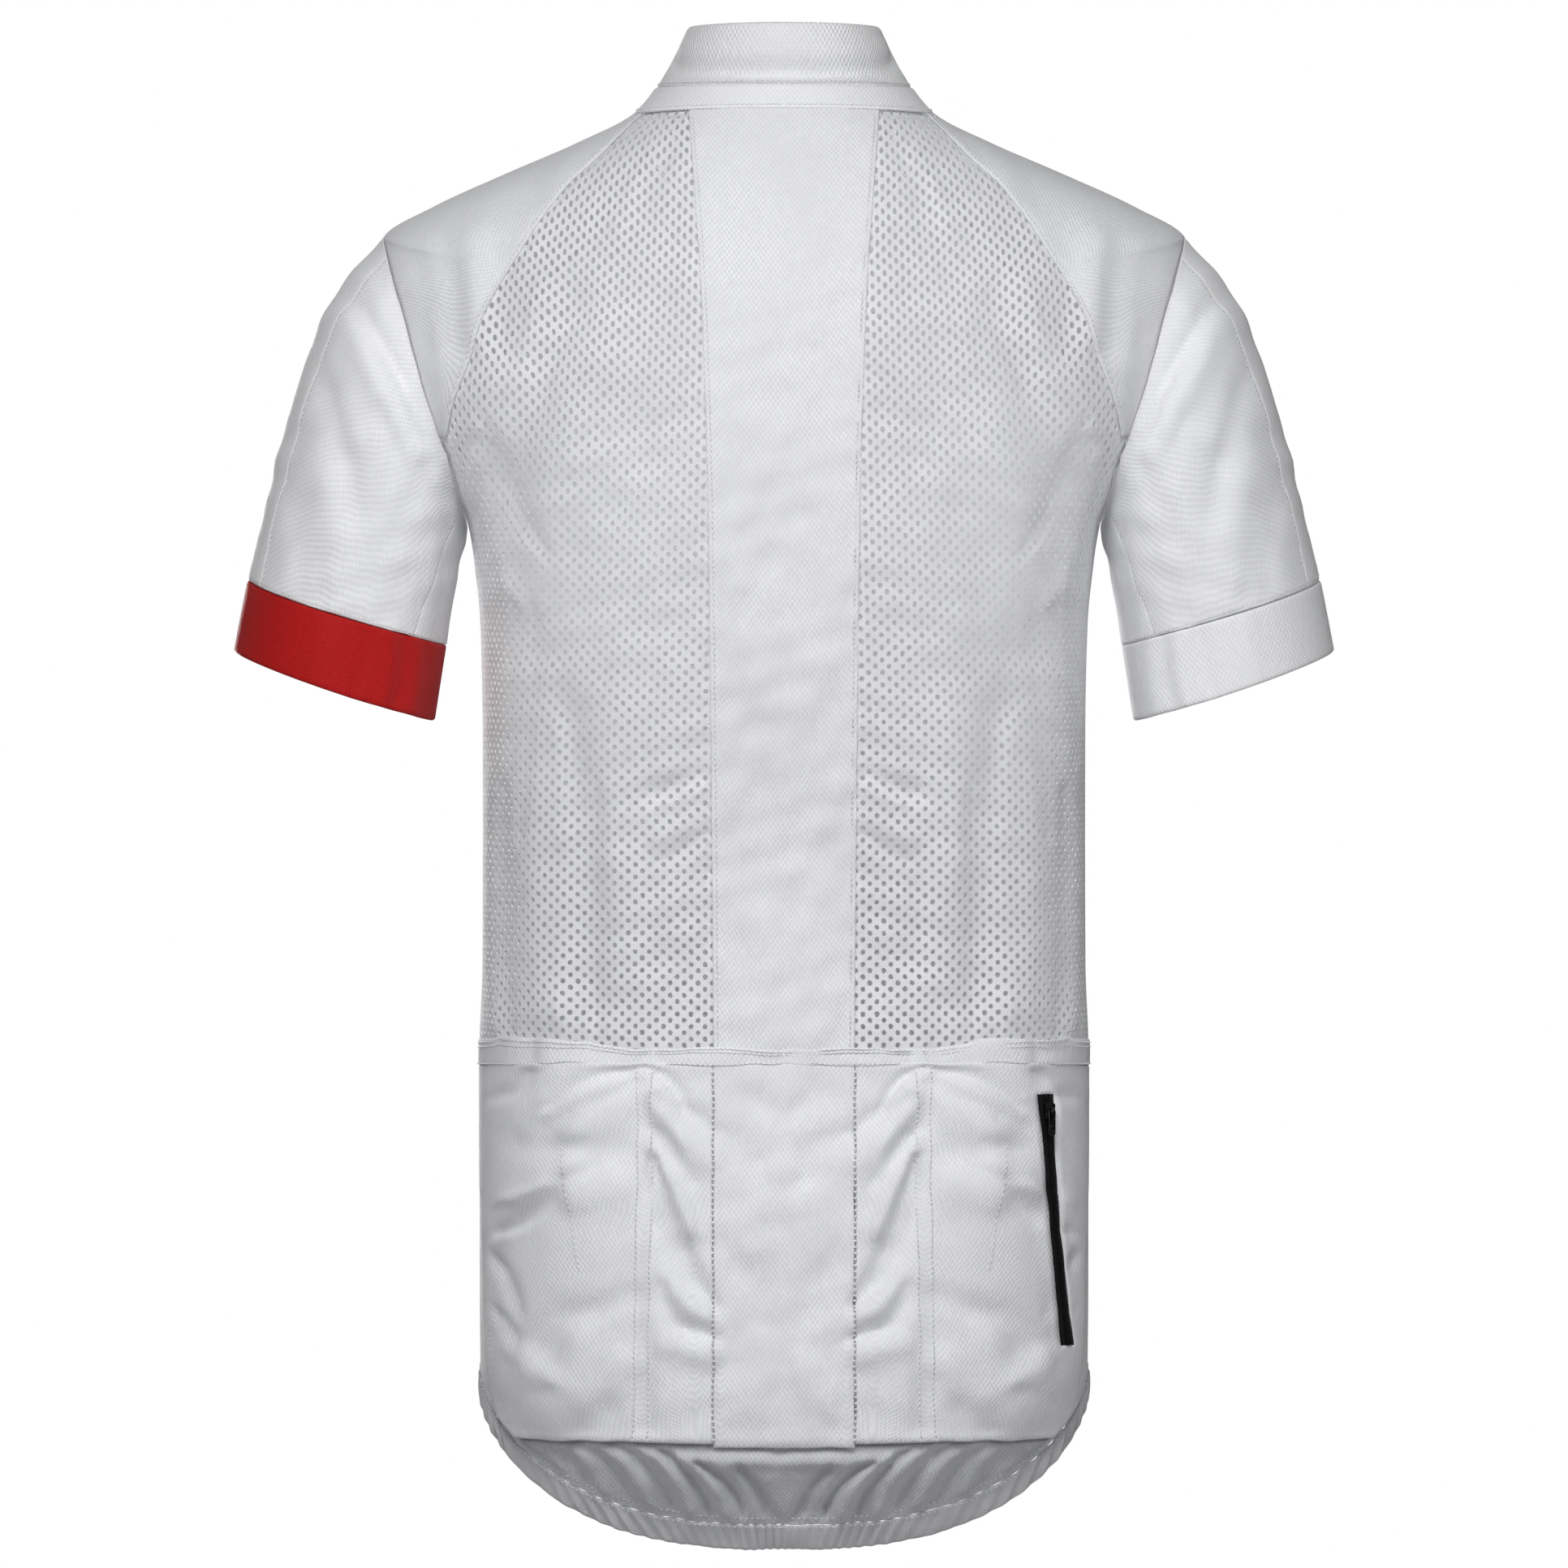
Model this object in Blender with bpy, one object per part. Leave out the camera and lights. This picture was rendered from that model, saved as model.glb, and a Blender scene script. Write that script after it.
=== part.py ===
"""Short-sleeved cycling jersey with a zip neck, in its worn form with nobody in it.

The cloth is a set of walls wrapped on one body form. The form is a stack of closed rings
from the collar's top edge to the hem, read from the SECTIONS table. A place on the cloth
is an angle round the body (0 at the centre back, positive to the wearer's left) and a
level (millimetres below the collar's top edge, measured at the centre back).

Axes: +Z up, the wearer's back faces +Y and the wearer's left is +X. The origin lies
between the shoulders, where the wearer carries the garment. Tables are in millimetres.
"""

import math
from collections import namedtuple

import bmesh
import bpy
import numpy as np
from mathutils import Matrix, Vector

MM = 0.001

# Thickness of each cloth, and the gap at every seam
KNIT_WALL = 1.2
COLLAR_WALL = 1.8
CUFF_WALL = 1.6
BAND_WALL = 1.6
SEAM_GAP = 0.3

# Heights of the seams at the centre back
COLLAR_TOP = 49.0
COLLAR_SEAM = 18.0
NECK_EDGE = 6.0
SHOULDER_TIP = -80.0
UNDERARM = -199.0
POCKET_SEAM = -459.0
HEM_SEAM = -690.0
HEM = -703.0

# How fast a ring leaves the height of its side point towards the centre back or front
CREST = 1.6

Section = namedtuple(
    "Section",
    "z_back z_side z_front half_width flat_width y_back y_side y_front square",
)
SECTIONS = (
    Section(49.0, 47.5, -16.0, 46.8, 46.8, 44.0, -10.0, -70.0, 2.10),
    Section(33.0, 32.0, -34.0, 54.2, 54.2, 50.0, -6.0, -74.0, 2.10),
    Section(18.0, 17.0, -48.0, 62.8, 62.8, 57.0, 0.0, -78.0, 2.10),
    Section(6.0, 4.0, -60.0, 74.0, 73.0, 64.0, 4.0, -84.0, 2.15),
    Section(-14.5, -10.0, -84.0, 101.0, 96.0, 77.5, 4.0, -97.0, 2.25),
    Section(-36.5, -26.0, -107.0, 138.0, 121.0, 89.5, 2.0, -107.0, 2.35),
    Section(-59.0, -42.0, -129.0, 173.0, 140.0, 98.5, 0.0, -113.0, 2.45),
    Section(-80.0, -57.0, -147.0, 197.6, 151.0, 105.0, -2.0, -117.0, 2.50),
    Section(-104.0, -80.0, -165.0, 205.0, 156.5, 110.0, -1.0, -120.0, 2.50),
    Section(-132.0, -112.0, -183.0, 203.0, 159.5, 113.5, 0.0, -121.0, 2.55),
    Section(-160.0, -148.0, -198.0, 187.0, 160.0, 115.5, 0.0, -121.0, 2.60),
    Section(-182.0, -178.0, -208.5, 167.0, 158.5, 116.0, 0.0, -121.0, 2.60),
    Section(-199.0, -199.0, -217.0, 155.6, 156.5, 116.0, 0.0, -121.0, 2.60),
    Section(-222.0, -221.0, -232.0, 152.2, 154.0, 115.6, 0.0, -121.0, 2.60),
    Section(-250.0, -248.0, -254.0, 149.6, 151.5, 114.4, 0.0, -120.0, 2.60),
    Section(-300.0, -298.0, -302.0, 148.5, 149.5, 110.0, 0.0, -117.0, 2.60),
    Section(-360.0, -357.0, -358.0, 148.4, 148.4, 102.5, 0.0, -111.0, 2.60),
    Section(-420.0, -416.0, -414.0, 148.6, 148.6, 98.0, 0.0, -107.5, 2.60),
    Section(-459.0, -454.0, -448.0, 150.0, 150.0, 99.0, 0.0, -107.5, 2.60),
    Section(-540.0, -509.0, -495.0, 150.0, 150.0, 106.0, 0.0, -109.5, 2.60),
    Section(-620.0, -565.0, -542.0, 150.0, 150.0, 108.0, 0.0, -111.5, 2.60),
    Section(-652.0, -587.9, -562.6, 149.9, 149.9, 104.5, 0.0, -111.7, 2.60),
    Section(-690.0, -615.0, -587.0, 149.6, 149.6, 77.0, 0.0, -112.0, 2.60),
    Section(-703.0, -628.0, -600.0, 149.4, 149.4, 67.0, 0.0, -112.0, 2.60),
)
# half_width holds at the side of a ring and flat_width across its back and front; the
# first gives way to the second with this power of the sine of the angle
SIDE_POWER = 5.0

# Half the width of the body below the arms
BODY_HALF_WIDTH = 150.0

# Seams drawn on the back or front view: distance from the centre line at each height
SeamPoint = namedtuple("SeamPoint", "z x")
CENTRE_SEAM = (
    SeamPoint(6.0, 47.2), SeamPoint(-92.0, 40.4), SeamPoint(-190.0, 37.4),
    SeamPoint(-299.0, 36.0), SeamPoint(-459.0, 34.6),
)
ARMHOLE_SEAM = (
    SeamPoint(-57.0, 197.6), SeamPoint(-67.0, 195.4), SeamPoint(-88.0, 189.4),
    SeamPoint(-117.0, 181.4), SeamPoint(-136.0, 175.8), SeamPoint(-159.0, 167.6),
    SeamPoint(-190.0, 158.8), SeamPoint(-199.0, 155.6),
)
BACK_RAGLAN = (
    SeamPoint(5.2, 69.2), SeamPoint(-4.0, 78.4), SeamPoint(-15.6, 89.6),
    SeamPoint(-34.4, 108.8), SeamPoint(-60.8, 127.6), SeamPoint(-85.2, 142.8),
    SeamPoint(-116.8, 154.4), SeamPoint(-136.4, 161.6), SeamPoint(-157.0, 166.4),
)
FRONT_RAGLAN = (
    SeamPoint(0.0, 62.0), SeamPoint(-22.0, 70.0), SeamPoint(-50.0, 92.0),
    SeamPoint(-85.0, 122.0), SeamPoint(-120.0, 142.0), SeamPoint(-160.0, 158.0),
)
FRONT_ARMHOLE_SCOOP = 7.0

# The side seam drifts to the back below the waist: degrees from the centre back
SideSeamPoint = namedtuple("SideSeamPoint", "z_back degrees")
SIDE_SEAM = (
    SideSeamPoint(-199.0, 90.0), SideSeamPoint(-459.0, 88.0),
    SideSeamPoint(-620.0, 76.0), SideSeamPoint(-703.0, 75.0),
)

# Soft folds on the back view: a line from one end to the other, how wide the fold is to
# each side, and how far it rises (or sinks). Both halves of the garment have them.
Fold = namedtuple("Fold", "x0 z0 x1 z1 width rise")
# They die out near the side: cosine of the angle at which they begin to fade
SIDE_FADE = 0.25
BACK_FOLDS = (
    Fold(153, -60, 151, -108, 7, 1.8),
    Fold(165, -64, 160, -112, 7, -1.4),
    Fold(141, -66, 138, -112, 8, -1.4),
    Fold(118, -84, 146, -150, 9, 1.6),
    Fold(104, -90, 138, -178, 10, -1.8),
    Fold(88, -104, 130, -230, 13, 1.7),
    Fold(70, -150, 110, -262, 15, -1.6),
    Fold(128, -275, 118, -440, 11, 1.6),
    Fold(106, -290, 98, -430, 12, -1.6),
    Fold(84, -300, 80, -420, 12, 1.2),
    Fold(42, -322, 64, -331, 6, -1.2),
    Fold(41, -343, 62, -353, 6, 1.2),
    Fold(14, -300, 8, -360, 12, -1.2),
    Fold(12, -400, 10, -440, 12, 1.2),
)
FRONT_FOLDS = (
    Fold(150, -205, 96, -236, 10, 1.8),
    Fold(148, -226, 92, -262, 10, -1.6),
    Fold(118, -96, 136, -168, 10, 1.4),
    Fold(124, -300, 112, -430, 13, 1.5),
    Fold(96, -320, 90, -450, 14, -1.4),
    Fold(60, -400, 54, -540, 16, 1.2),
)
SLEEVE_FOLDS = (
    Fold(207, -92, 171, -152, 6, -2.4),
    Fold(216, -98, 180, -162, 7, 1.7),
    Fold(232, -128, 214, -190, 10, -1.2),
    Fold(222, -176, 206, -226, 10, 1.2),
)
POCKET_FOLDS = (
    Fold(70, -466, 110, -484, 6, 1.6),
    Fold(74, -474, 112, -496, 6, -1.4),
    Fold(70, -466, 51, -488, 5, 1.2),
    Fold(63, -516, 54, -556, 6, -1.6),
    Fold(54, -556, 38, -586, 6, -1.2),
    Fold(112, -524, 136, -546, 7, 1.6),
    Fold(108, -536, 134, -560, 7, -1.4),
    Fold(100, -600, 112, -640, 8, 1.2),
    Fold(60, -590, 62, -640, 6, 1.0),
)

# Sleeve rings in the back view, from the armhole to the cuff's edge: the outer and the
# inner end of each ring, and half its depth from front to back
SleeveRing = namedtuple("SleeveRing", "reach outer_x outer_z inner_x inner_z depth")
SLEEVE_RINGS = (
    SleeveRing(0.00, 197.6, -57.0, 155.6, -199.0, 66.0),
    SleeveRing(0.15, 212.0, -72.5, 157.4, -208.0, 66.0),
    SleeveRing(0.30, 225.2, -92.0, 159.4, -217.0, 65.0),
    SleeveRing(0.45, 235.2, -116.0, 161.0, -226.0, 64.0),
    SleeveRing(0.60, 243.5, -143.0, 162.6, -235.0, 62.5),
    SleeveRing(0.80, 254.0, -182.0, 164.8, -247.0, 60.0),
    SleeveRing(1.00, 264.0, -226.0, 166.8, -258.0, 58.0),
    SleeveRing(1.25, 270.8, -261.0, 172.6, -295.0, 57.5),
)
CUFF_REACH = 1.0
CUFF_END = 1.25
# Over this reach the sleeve passes from the armhole's outline to its own round one, and
# its folds begin
ARMHOLE_BLEND = 0.5
FOLDS_FROM = 0.15
# The sleeve's first row stands off the armhole's edge by this step, down the arm
OFF_ARMHOLE = (0.35, 0.0, -0.10)
CUFF_STAND = 0.2

# Where the sleeve's lengthwise seams lie, in degrees from the top of the arm
TOP_COLUMN_AT_CUFF = 3.0
TOP_SEAM_AT_CUFF = 28.0
UNDER_SEAM_AT_CUFF = 134.0

# Numbers of rows and columns
ARMHOLE_ROWS = 12
TOP_SEAM_STEP = 2
UNDER_SEAM_STEP = 10
SHOULDER_LEG_COLUMNS = 5
CENTRE_COLUMNS = 6
MESH_COLUMNS = 8
FRONT_COLUMNS = 12
FRONT_BIAS = 1.2
TAIL_COLUMNS = 32
SLEEVE_ROWS = 7
POCKET_COLUMNS = 7
POCKET_SIDE_COLUMNS = 5
COLLAR_COLUMNS = 30

# Gathers of the hem: one ridge and one hollow to each pitch
GATHER_PITCH = 7.0
GATHER_RISE = 0.55
GATHER_RISE_AT_SEAM = 0.3
BAND_STAND = 0.4
TAIL_GATHER_RISE = 0.9
# The straight edges of the cloth above dip a little below the curved seam
HEM_EXTRA_GAP = 0.7
# The tail's gathers begin below the pockets and grow over this height
TAIL_GATHER_TOP = -653.0
TAIL_GATHER_HEIGHT = 24.0
# Rolled fold of the tail under the middle pocket
ROLL_Z = -658.0
ROLL_RISE = 2.4
ROLL_HALF_HEIGHT = 5.0
ROLL_HALF_WIDTH = 52.0

# Front zip: a slit in the front that the zip fills
FRONT_ZIP_HALF_SLIT = 3.5
FRONT_ZIP_END = -300.0
ZIP_CHAIN_HALF = 1.7
ZIP_CHAIN_RISE = 0.9
FRONT_ZIP_TOP_LEVEL = 1.5
FRONT_ZIP_NECK_ROWS = 5
FRONT_SLIDER_LEVEL = 9.0
FRONT_PULL_LENGTH = 22.0

# Pockets
BAND_TOP_SIDE = -451.8
BAND_TOP_CENTRE = -454.8
BAND_FOOT = -465.2
POCKET_FOOT = -650.0
POCKET_CENTRE_SEAM = 34.6
POCKET_DIVISION = 68.5
MOUTH_GAPE = 9.0
CENTRE_GAPE = 2.6
MOUTH_GAPE_END = -610.0
# How the gape falls off down the pocket, and how round it is across
GAPE_FALL = 0.8
GAPE_ROUND = 1.2
POCKET_OUTSIDE = 147.0
POCKET_LIFT = 2.2
POCKET_BAND_STAND = 0.4

# Zip on the side pocket at the wearer's right: middle line and half width by height
ZipPoint = namedtuple("ZipPoint", "z x half_width")
POCKET_ZIP = (
    ZipPoint(-480.0, 123.0, 3.9), ZipPoint(-520.0, 126.6, 3.1),
    ZipPoint(-564.0, 131.8, 3.0), ZipPoint(-604.0, 137.0, 3.6),
)
POCKET_SLIDER_Z = -488.0
POCKET_ZIP_RADIUS = 145.0
POCKET_ZIP_EDGE_SUNK = 0.2
POCKET_CHAIN_RISE = 0.5
POCKET_SLIDER_STAND = 1.1
POCKET_SLIDER_SCALE = 0.8
POCKET_PULL_LENGTH = 15.0

# Rows of the pocket panels, and where each one ends at the outside
PocketRow = namedtuple("PocketRow", "z x_out z_out")
AT_SIDE_SEAM = 200.0
POCKET_ROWS = (
    PocketRow(-465.7, AT_SIDE_SEAM, -465.7), PocketRow(-480.0, AT_SIDE_SEAM, -479.0),
    PocketRow(-500.0, AT_SIDE_SEAM, -498.5), PocketRow(-520.0, AT_SIDE_SEAM, -518.0),
    PocketRow(-542.0, AT_SIDE_SEAM, -540.0), PocketRow(-564.0, AT_SIDE_SEAM, -562.0),
    PocketRow(-584.0, AT_SIDE_SEAM, -582.0), PocketRow(-604.0, AT_SIDE_SEAM, -602.0),
    PocketRow(-627.0, 145.2, -623.0), PocketRow(-640.0, 138.6, -638.5),
    PocketRow(-650.0, 131.0, -647.0),
)

# Colours, linear
WHITE_KNIT = (0.70, 0.71, 0.74)
WHITE_MESH = (0.60, 0.61, 0.64)
RED_KNIT = (0.48, 0.003, 0.003)
ZIP_BLACK = (0.004, 0.004, 0.005)
SLIDER_BLACK = (0.012, 0.012, 0.014)


def pchip(knots, values, at):
    """Smooth curve through the knots that never overshoots them."""
    knots = np.asarray(knots, float)
    values = np.asarray(values, float)
    step = np.diff(knots)
    slope = np.diff(values, axis=0) / step.reshape((-1,) + (1,) * (values.ndim - 1))
    tangent = np.zeros_like(values)
    tangent[0], tangent[-1] = slope[0], slope[-1]
    same_way = slope[:-1] * slope[1:] > 0
    mean = 2 * slope[:-1] * slope[1:] / np.where(same_way, slope[:-1] + slope[1:], 1)
    tangent[1:-1] = np.where(same_way, mean, 0)
    at = np.clip(np.asarray(at, float), knots[0], knots[-1])
    k = np.clip(np.searchsorted(knots, at, side="right") - 1, 0, len(step) - 1)
    h = step[k]
    u = (at - knots[k]) / h
    if values.ndim > 1:
        h, u = h[..., None], u[..., None]
    return (
        values[k] * (1 + 2 * u) * (1 - u) ** 2
        + tangent[k] * h * u * (1 - u) ** 2
        + values[k + 1] * u * u * (3 - 2 * u)
        + tangent[k + 1] * h * u * u * (u - 1)
    )


def curve(points, at):
    """Second column of a two-column table, read at values of its first column."""
    table = sorted((tuple(point)[:2] for point in points))
    return pchip([row[0] for row in table], [row[1] for row in table], at)


def level_of(z_back):
    """Level of the ring whose centre back stands at this height."""
    return COLLAR_TOP - z_back


SECTION_LEVELS = [level_of(section.z_back) for section in SECTIONS]


def form(angle, level):
    """Points of the plain form, without folds."""
    angle, level = np.broadcast_arrays(np.asarray(angle, float), np.asarray(level, float))
    read = pchip(SECTION_LEVELS, SECTIONS, level)
    (z_back, z_side, z_front, half_width, flat_width, y_back, y_side, y_front,
     square) = np.moveaxis(read, -1, 0)
    sine, cosine = np.sin(angle), np.cos(angle)
    half_width = flat_width + (half_width - flat_width) * np.abs(sine) ** SIDE_POWER
    depth = np.where(cosine >= 0, y_back - y_side, y_side - y_front)
    reach = (np.abs(cosine / depth) ** square + np.abs(sine / half_width) ** square)
    reach = reach ** (-1 / square)
    lean = np.abs(reach * cosine / depth) ** CREST
    z_end = np.where(cosine >= 0, z_back, z_front)
    z = z_side + (z_end - z_side) * lean
    return np.stack([reach * sine, y_side + reach * cosine, z], axis=-1)


def fold_rise(folds, x, z):
    """How far the folds lift the cloth at these places of the back or front view."""
    x = np.abs(x)
    rise = np.zeros_like(x)
    for fold in folds:
        run_x, run_z = fold.x1 - fold.x0, fold.z1 - fold.z0
        along = (x - fold.x0) * run_x + (z - fold.z0) * run_z
        along = np.clip(along / (run_x**2 + run_z**2), 0, 1)
        off = np.hypot(x - fold.x0 - along * run_x, z - fold.z0 - along * run_z)
        rise += fold.rise * np.exp(-((off / fold.width) ** 2))
    return rise


def normals_of(surface, angle, level):
    """Outward normals of a surface function, by small steps along it."""
    turn, drop = 0.004, 0.4
    across = surface(angle + turn, level) - surface(angle - turn, level)
    middle = np.clip(level, drop, SECTION_LEVELS[-1] - drop)
    down = surface(angle, middle + drop) - surface(angle, middle - drop)
    normal = np.cross(across, down)
    return normal / np.linalg.norm(normal, axis=-1, keepdims=True)


def folded(angle, level):
    """Points of the form with its soft folds."""
    points = form(angle, level)
    x, z = points[..., 0], points[..., 2]
    cosine = np.cos(angle)
    rise = np.where(
        cosine >= 0, fold_rise(BACK_FOLDS, x, z), fold_rise(FRONT_FOLDS, x, z)
    )
    away_from_side = 1 - np.exp(-((cosine / SIDE_FADE) ** 2))
    return points + normals_of(form, angle, level) * (rise * away_from_side)[..., None]


def cloth(angle, level, lift=0.0):
    """Points of the folded form, moved out by the lift."""
    angle, level = np.broadcast_arrays(np.asarray(angle, float), np.asarray(level, float))
    lift = np.broadcast_to(np.asarray(lift, float), angle.shape)
    return folded(angle, level) + normals_of(folded, angle, level) * lift[..., None]


def angle_where(level, reached, low, high):
    """Angle between low and high at which a test of the form's points turns true."""
    low = np.full_like(np.asarray(level, float), low)
    high = np.full_like(low, high)
    for _ in range(40):
        middle = (low + high) / 2
        past = reached(form(middle, level))
        high = np.where(past, middle, high)
        low = np.where(past, low, middle)
    return (low + high) / 2


def back_seam_angle(level, seam):
    """Angle at which each ring meets a seam drawn on the back view."""
    return angle_where(
        level, lambda p: p[..., 0] >= curve(seam, p[..., 2]), 0.0, math.pi / 2
    )


def front_seam_angle(level, seam, scoop=0.0):
    """Angle at which each ring meets a seam drawn on the front view."""
    top, foot = seam[0].z, seam[-1].z

    def reached(points):
        z = points[..., 2]
        dip = scoop * np.sin(np.pi * np.clip((z - top) / (foot - top), 0, 1))
        return points[..., 0] >= curve(seam, z) - dip

    return angle_where(level, reached, math.pi, math.pi / 2)


def level_where(angle, z):
    """Level at which the form reaches a height, at each angle."""
    low = np.zeros_like(np.asarray(angle, float))
    high = np.full_like(low, SECTION_LEVELS[-1])
    for _ in range(40):
        middle = (low + high) / 2
        past = form(angle, middle)[..., 2] <= z
        high = np.where(past, middle, high)
        low = np.where(past, low, middle)
    return (low + high) / 2


def place_on_back(x, z):
    """Angle and level of a place of the back view."""
    x, z = np.broadcast_arrays(np.asarray(x, float), np.asarray(z, float))
    angle = np.arcsin(np.clip(x / BODY_HALF_WIDTH, -1, 1))
    level = level_of(z)
    for _ in range(14):
        level = level_where(angle, z)
        angle = angle_where(level, lambda p: p[..., 0] >= x, 0.0, math.pi / 2)
    return angle, level


def side_seam_angle(level):
    """Angle of the side seam at each level."""
    return np.radians(curve(SIDE_SEAM, COLLAR_TOP - np.asarray(level, float)))


def front_slit_angle(level, half_width):
    """Angle on the wearer's left at which the front is this far from its middle."""
    return angle_where(level, lambda p: p[..., 0] >= half_width, math.pi, math.pi * 0.75)


def spread(left, right, columns, bias=1.0):
    """Rows of values between two columns of border values, closer on the left for a bias."""
    share = np.linspace(0, 1, columns + 1) ** bias
    left, right = np.asarray(left)[:, None], np.asarray(right)[:, None]
    return left * (1 - share) + right * share


def material(name, colour, roughness=0.8, metallic=0.0):
    """Principled material of one finish."""
    finish = bpy.data.materials.new(name)
    finish.use_nodes = True
    shader = finish.node_tree.nodes["Principled BSDF"]
    shader.inputs["Base Color"].default_value = (*colour, 1.0)
    shader.inputs["Roughness"].default_value = roughness
    shader.inputs["Metallic"].default_value = metallic
    return finish


def add_object(name, mesh, colour, roughness=0.8, metallic=0.0, smooth=True):
    """Object of a finished bmesh, with its own material."""
    bmesh.ops.recalc_face_normals(mesh, faces=mesh.faces)
    data = bpy.data.meshes.new(name)
    mesh.to_mesh(data)
    mesh.free()
    if smooth:
        data.shade_smooth()
        data.set_sharp_from_angle(angle=math.radians(40))
    obj = bpy.data.objects.new(name, data)
    obj.data.materials.append(material(name, colour, roughness, metallic))
    bpy.context.scene.collection.objects.link(obj)
    return obj


def in_from_seams(outer, inner, sides):
    """Draw the named borders in by half a seam gap, both faces of the wall alike."""
    outer, inner = outer.copy(), inner.copy()
    for side in sides:
        edge, next_in = {
            "left": ((slice(None), 0), (slice(None), 1)),
            "right": ((slice(None), -1), (slice(None), -2)),
            "top": ((0, slice(None)), (1, slice(None))),
            "bottom": ((-1, slice(None)), (-2, slice(None))),
        }[side]
        step = outer[next_in] - outer[edge]
        step *= SEAM_GAP / 2 / np.linalg.norm(step, axis=-1, keepdims=True)
        outer[edge] += step
        inner[edge] += step
    return outer, inner


def wall(name, outer, inner, colour, seams="", left_out=None, closed=False, mirror=False):
    """Closed cloth wall between an outer and an inner net of points.

    seams names the borders that keep a gap to a neighbour, left_out tells the cells to
    leave open, closed joins the last column to the first, mirror swaps left and right.
    """
    outer, inner = in_from_seams(outer, inner, seams.split())
    rows, columns = outer.shape[0] - 1, outer.shape[1] - 1
    mesh = bmesh.new()
    row_of = mesh.verts.layers.int.new("row")
    column_of = mesh.verts.layers.int.new("column")
    bmesh.ops.create_grid(mesh, x_segments=columns, y_segments=rows, size=1.0)
    for vert in mesh.verts:
        vert[column_of] = round((vert.co.x + 1) / 2 * columns)
        vert[row_of] = round((vert.co.y + 1) / 2 * rows)
    if left_out:
        open_cells = [
            face for face in mesh.faces
            if left_out(min(v[row_of] for v in face.verts),
                        min(v[column_of] for v in face.verts))
        ]
        bmesh.ops.delete(mesh, geom=open_cells, context="FACES")
    for vert in mesh.verts:
        vert.co = outer[vert[row_of], vert[column_of]] * MM
    if closed:
        bmesh.ops.remove_doubles(mesh, verts=mesh.verts, dist=1e-7)
    lining = bmesh.ops.extrude_face_region(mesh, geom=mesh.faces[:], use_keep_orig=True)
    for vert in lining["geom"]:
        if isinstance(vert, bmesh.types.BMVert):
            vert.co = inner[vert[row_of], vert[column_of]] * MM
    if mirror:
        bmesh.ops.scale(mesh, vec=(-1, 1, 1), verts=mesh.verts)
    bmesh.ops.triangulate(mesh, faces=mesh.faces)
    return add_object(name, mesh, colour)


def body_wall(name, angle, level, colour, thickness=KNIT_WALL, lift=0.0, **options):
    """Cloth wall on the body form, its inner face one thickness in."""
    return wall(
        name, cloth(angle, level, lift), cloth(angle, level, lift - thickness),
        colour, **options,
    )


def armhole_levels():
    """Rows of the armhole, close together at its top and its foot to round them."""
    turn = np.linspace(0, math.pi, ARMHOLE_ROWS + 1)
    share = (1 - np.cos(turn)) / 2
    top, foot = level_of(SHOULDER_TIP), level_of(UNDERARM)
    return top + (foot - top) * share


YOKE_LEVELS = np.linspace(level_of(NECK_EDGE), level_of(SHOULDER_TIP), 5)
ARM_LEVELS = armhole_levels()
WAIST_LEVELS = np.linspace(level_of(UNDERARM), level_of(POCKET_SEAM), 10)
TAIL_LEVELS = level_of(
    np.array([-459.0, -502.0, -548.0, -594.0, -632.0, -651.5, -659.0, -667.0, -678.0, -690.0])
)
UPPER_LEVELS = np.concatenate([YOKE_LEVELS, ARM_LEVELS[1:], WAIST_LEVELS[1:]])
TIP_ROW = len(YOKE_LEVELS) - 1
UNDERARM_ROW = TIP_ROW + ARMHOLE_ROWS

# How far the armhole's flat top reaches to the back and front of the shoulder tip
TIP_HALF_EDGE = 6.0
# How near the shoulder panel's legs come to the armhole where they end
LEG_END_WIDTH = 2.0
ARMHOLE_RADIUS = 170.0
# Width at the neck of the shoulder panel's narrow middle stretch, to each side
NECK_HALF_EDGE = 2.4


def armhole_angles(front):
    """Angle of the armhole's edge in each of its rows, at the back or the front."""
    tip = form(math.pi / 2, ARM_LEVELS[0])
    offset = math.atan2(TIP_HALF_EDGE, tip[0])
    if front:
        angles = front_seam_angle(ARM_LEVELS, ARMHOLE_SEAM, FRONT_ARMHOLE_SCOOP)
        angles[0] = math.pi / 2 + offset
    else:
        angles = back_seam_angle(ARM_LEVELS, ARMHOLE_SEAM)
        angles[0] = math.pi / 2 - offset
    angles[-1] = math.pi / 2
    return angles


def shoulder_seams(front):
    """Raglan and armhole angles by row, and the row in which they meet."""
    levels = UPPER_LEVELS[: UNDERARM_ROW + 1]
    arm = armhole_angles(front)
    if front:
        raglan = front_seam_angle(levels, FRONT_RAGLAN)
    else:
        raglan = back_seam_angle(levels, BACK_RAGLAN)
    width = np.abs(raglan[TIP_ROW:] - arm) * ARMHOLE_RADIUS
    past = (raglan[TIP_ROW:] > arm) if not front else (raglan[TIP_ROW:] < arm)
    close = np.flatnonzero((past | (width < LEG_END_WIDTH)) & (np.arange(len(arm)) > 1))
    end_row = TIP_ROW + int(close[0])
    pinch = LEG_END_WIDTH / ARMHOLE_RADIUS
    raglan[end_row] = arm[end_row - TIP_ROW] + (pinch if front else -pinch)
    return raglan, arm, end_row


BACK_RAGLAN_ANGLES, BACK_ARM_ANGLES, BACK_LEG_END = shoulder_seams(front=False)
FRONT_RAGLAN_ANGLES, FRONT_ARM_ANGLES, FRONT_LEG_END = shoulder_seams(front=True)


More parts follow.
